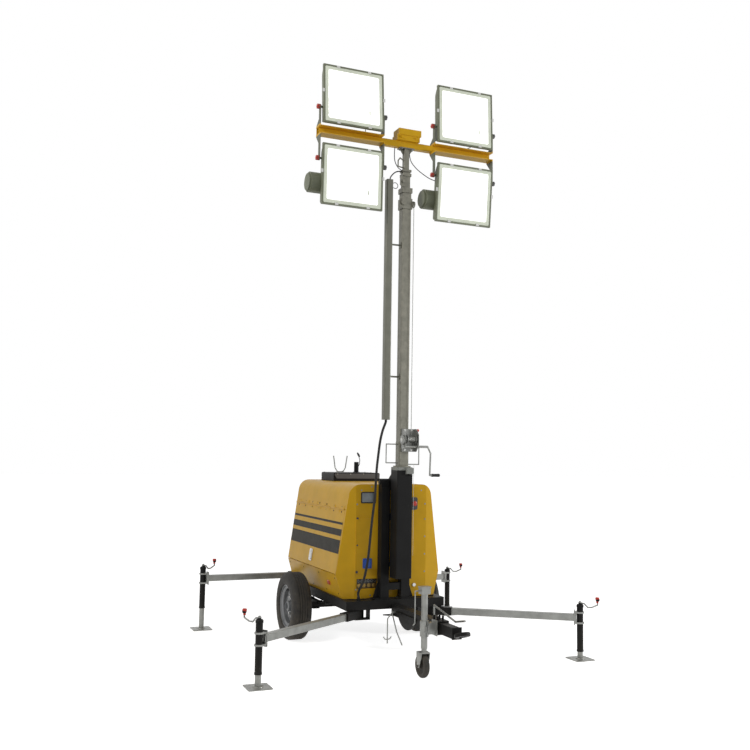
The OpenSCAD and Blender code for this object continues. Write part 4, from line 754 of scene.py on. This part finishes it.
def add_cord(name, route, r, steps, look, blend=None, body=None, replaces=None):
    path = curve_points(route, steps)
    obj = piece(name, [tube(path, r, 12)], look, body, sharp=60)
    if blend:
        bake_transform(obj)
    if replaces:
        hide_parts(replaces)
    return obj


def add_cables():
    for name, r, look, (a, b), stiffness, route in SMALL_CORDS:
        ends = [tuple(Vector(route[0]).lerp(Vector(route[-1]), t)) for t in (0.2, 0.8)]
        add_cord(name, route, r, 24, look, blend=(a, b, *ends))
    angles = [math.radians(a) for a in range(130, -131, -20)]
    loop = [(LOOP_X + LOOP_R * math.cos(a), LOOP_Y, LOOP_Z + LOOP_R * math.sin(a)) for a in angles]
    add_cord("duct_loop", loop, 0.0032, 30, CABLE, body="mast_outer")
    add_cord("cable_upper", UPPER, POWER_R, 24, CABLE, replaces="power_cable_upper",
             blend=("mast_foot", "mast_outer", (-0.26, -0.322, 1.60), (-0.165, -0.298, 2.04)))
    add_cord("cable_lower", LOWER, POWER_R, 42, CABLE, replaces="power_cable_lower",
             blend=("chassis", "mast_foot", (-0.35, -0.2, 0.60), (-0.262, -0.322, 1.52)))


# Jacks: x, y, top, crank's turn and arm's direction in degrees, height of the arm's middle
JACKS = {"front_left": (-1.465, -0.930, 0.508, 90, 180 + 34.586, 0.361),
         "front_right": (1.465, -0.930, 0.478, 0, -34.586, 0.361),
         "rear_left": (-1.385, 1.455, 0.618, 150, 180, 0.502),
         "rear_right": (1.385, 1.455, 0.500, -25, 0, 0.416)}
CRANK = ((0, 0, 0.010), (0.036, 0, 0.006), (0.066, 0, -0.026), (0.100, 0, -0.026), (0.152, 0, -0.002),
         (0.152, 0, 0.030))
CRANK_R, GRIP_AT = 0.0066, (0.150, 0, 0.036)
HUB = ((0, 0.012), (0.0145, 0.012), (0.0145, 0.018), (0.009, 0.020), (0.009, 0.026), (0, 0.026))
GRIP = ((0, -0.020), (0.010, -0.020), (0.0115, -0.002), (0.0165, 0.010), (0.0180, 0.017), (0.0180, 0.023),
        (0.0150, 0.0285), (0, 0.030))
CLAMP_X, CLAMP_Y, CLAMP_Z = -0.0385, 0.037, 0.030


def add_jacks():
    for name, (x, y, top, turn, out, arm_z) in JACKS.items():
        angle = out - turn if x < 0 else out + turn
        body = f"stabiliser_{name}"
        m = Matrix.Translation((x, y, top)) @ Matrix.Rotation(math.radians(angle), 4, "Z")
        arm = tube([m @ Vector(p) for p in CRANK], CRANK_R, 12)
        piece(f"crank_{name}", [arm, moved(lathe(HUB, 20), m)], ZINC, body)
        grip = moved(lathe(GRIP, 20), m @ Matrix.Translation(GRIP_AT))
        piece(f"crank_knob_{name}", [grip], KNOB, body)
        # Clamp bolts through the rings
        w = Matrix.Translation((x, y, arm_z)) @ Matrix.Rotation(math.radians(out), 4, "Z")
        bolts = [hex_bolt(w @ Vector((CLAMP_X, t * CLAMP_Y, z)), w.to_3x3() @ Vector((0, t, 0)), 0.0075, 0.006)
                 for z in (-CLAMP_Z, CLAMP_Z) for t in (-1, 1)]
        piece(f"clamp_bolts_{name}", bolts, ZINC, body)


# Winch
WINCH_GRIP = ((0, 0), (0.0125, 0), (0.0145, 0.004), (0.0145, 0.012), (0.0132, 0.030), (0.0145, 0.070),
              (0.0145, 0.076), (0.010, 0.080), (0, 0.080))
WINCH_GRIP_AT, PAWL_KNOB_AT = (0.248, -0.398, 1.592), (0.112, -0.388, 1.992)
WINCH_FACE_Y, WINCH_Z = -0.3505, 1.912
SHAFT_Y = -0.3895


def add_winch():
    grip = moved(lathe(WINCH_GRIP, 20), facing(WINCH_GRIP_AT, (1, 0, 0)))
    piece("winch_grip", [grip], CABLE, "mast_outer")
    piece("winch_knob", [ball_knob(PAWL_KNOB_AT, (0, 0.1, 1), 0.012)], KNOB, "mast_outer")
    bolts = [hex_bolt((x, WINCH_FACE_Y, WINCH_Z + dz), FORWARD, 0.008, 0.006)
             for x in (0.0, 0.068) for dz in (-0.095, 0.078)]
    bolts += [hex_bolt((0.1003, SHAFT_Y, WINCH_Z), (1, 0, 0), 0.012, 0.009),
              hex_bolt((-0.0445, SHAFT_Y, 1.904), (-1, 0, 0), 0.012, 0.008)]
    piece("winch_bolts", bolts, STEEL, "mast_outer")


add_camera()
add_cables()
add_canopy()
add_hood()
add_wheels()
add_lamps()
add_jacks()
add_winch()

# Studio
FLOOR_HALF, FLOOR_TONE, FLOOR_LIFT, WORLD_LIGHT = 60, 0.85, 0.80, 0.24
# Lights: name, place, aim, size, power, colour
LIGHTS = (("key", (-7, -3, 7.5), (0, 0.3, 1.6), 2.5, 290, (1, 0.97, 0.92)),
          ("fill", (6.5, -4.2, 3.6), (0, 0, 1.4), 1.4, 260, (1, 1, 1)))


def add_light(name, at, towards, size, power, colour):
    data = bpy.data.lights.new(name, "AREA")
    data.shape = "DISK"
    data.size = size
    data.energy = power
    data.color = colour
    lamp = bpy.data.objects.new(name, data)
    lamp.location = at
    lamp.rotation_euler = (Vector(towards) - Vector(at)).to_track_quat("-Z", "Y").to_euler()
    scene.collection.objects.link(lamp)


def seen_directly(tree):
    """1 for what the camera, a mirror or a glass shows, 0 for light that falls on the object."""
    path = tree.nodes.new("ShaderNodeLightPath")
    value = path.outputs["Is Camera Ray"]
    for other in ("Is Glossy Ray", "Is Transmission Ray"):
        both = tree.nodes.new("ShaderNodeMath")
        both.operation = "MAXIMUM"
        tree.links.new(value, both.inputs[0])
        tree.links.new(path.outputs[other], both.inputs[1])
        value = both.outputs[0]
    return value


def add_floor():
    """Pale floor, lifted to the backdrop's white where it is seen directly."""
    f = FLOOR_HALF
    mesh = bpy.data.meshes.new("floor")
    mesh.from_pydata([(-f, -f, 0), (f, -f, 0), (f, f, 0), (-f, f, 0)], [], [(0, 1, 2, 3)])
    floor = bpy.data.objects.new("floor", mesh)
    scene.collection.objects.link(floor)
    m = bpy.data.materials.new("floor_white")
    m.use_nodes = True
    bsdf = m.node_tree.nodes["Principled BSDF"]
    bsdf.inputs["Base Color"].default_value = (FLOOR_TONE, FLOOR_TONE, FLOOR_TONE, 1)
    bsdf.inputs["Roughness"].default_value = 0.9
    bsdf.inputs["Emission Color"].default_value = (1, 1, 1, 1)
    lift = m.node_tree.nodes.new("ShaderNodeMath")
    lift.operation = "MULTIPLY"
    lift.inputs[1].default_value = FLOOR_LIFT
    m.node_tree.links.new(seen_directly(m.node_tree), lift.inputs[0])
    m.node_tree.links.new(lift.outputs[0], bsdf.inputs["Emission Strength"])
    mesh.materials.append(m)


def add_world():
    """White backdrop that lights the object more softly than it looks."""
    world = bpy.data.worlds.new("studio")
    world.use_nodes = True
    scene.world = world
    tree = world.node_tree
    back = tree.nodes["Background"]
    level = tree.nodes.new("ShaderNodeMapRange")
    level.inputs["To Min"].default_value = WORLD_LIGHT
    level.inputs["To Max"].default_value = 1.0
    tree.links.new(seen_directly(tree), level.inputs["Value"])
    back.inputs["Color"].default_value = (1, 1, 1, 1)
    tree.links.new(level.outputs["Result"], back.inputs["Strength"])


def add_studio():
    add_floor()
    add_world()
    for light in LIGHTS:
        add_light(*light)
    scene.view_settings.view_transform = "Standard"


add_studio()
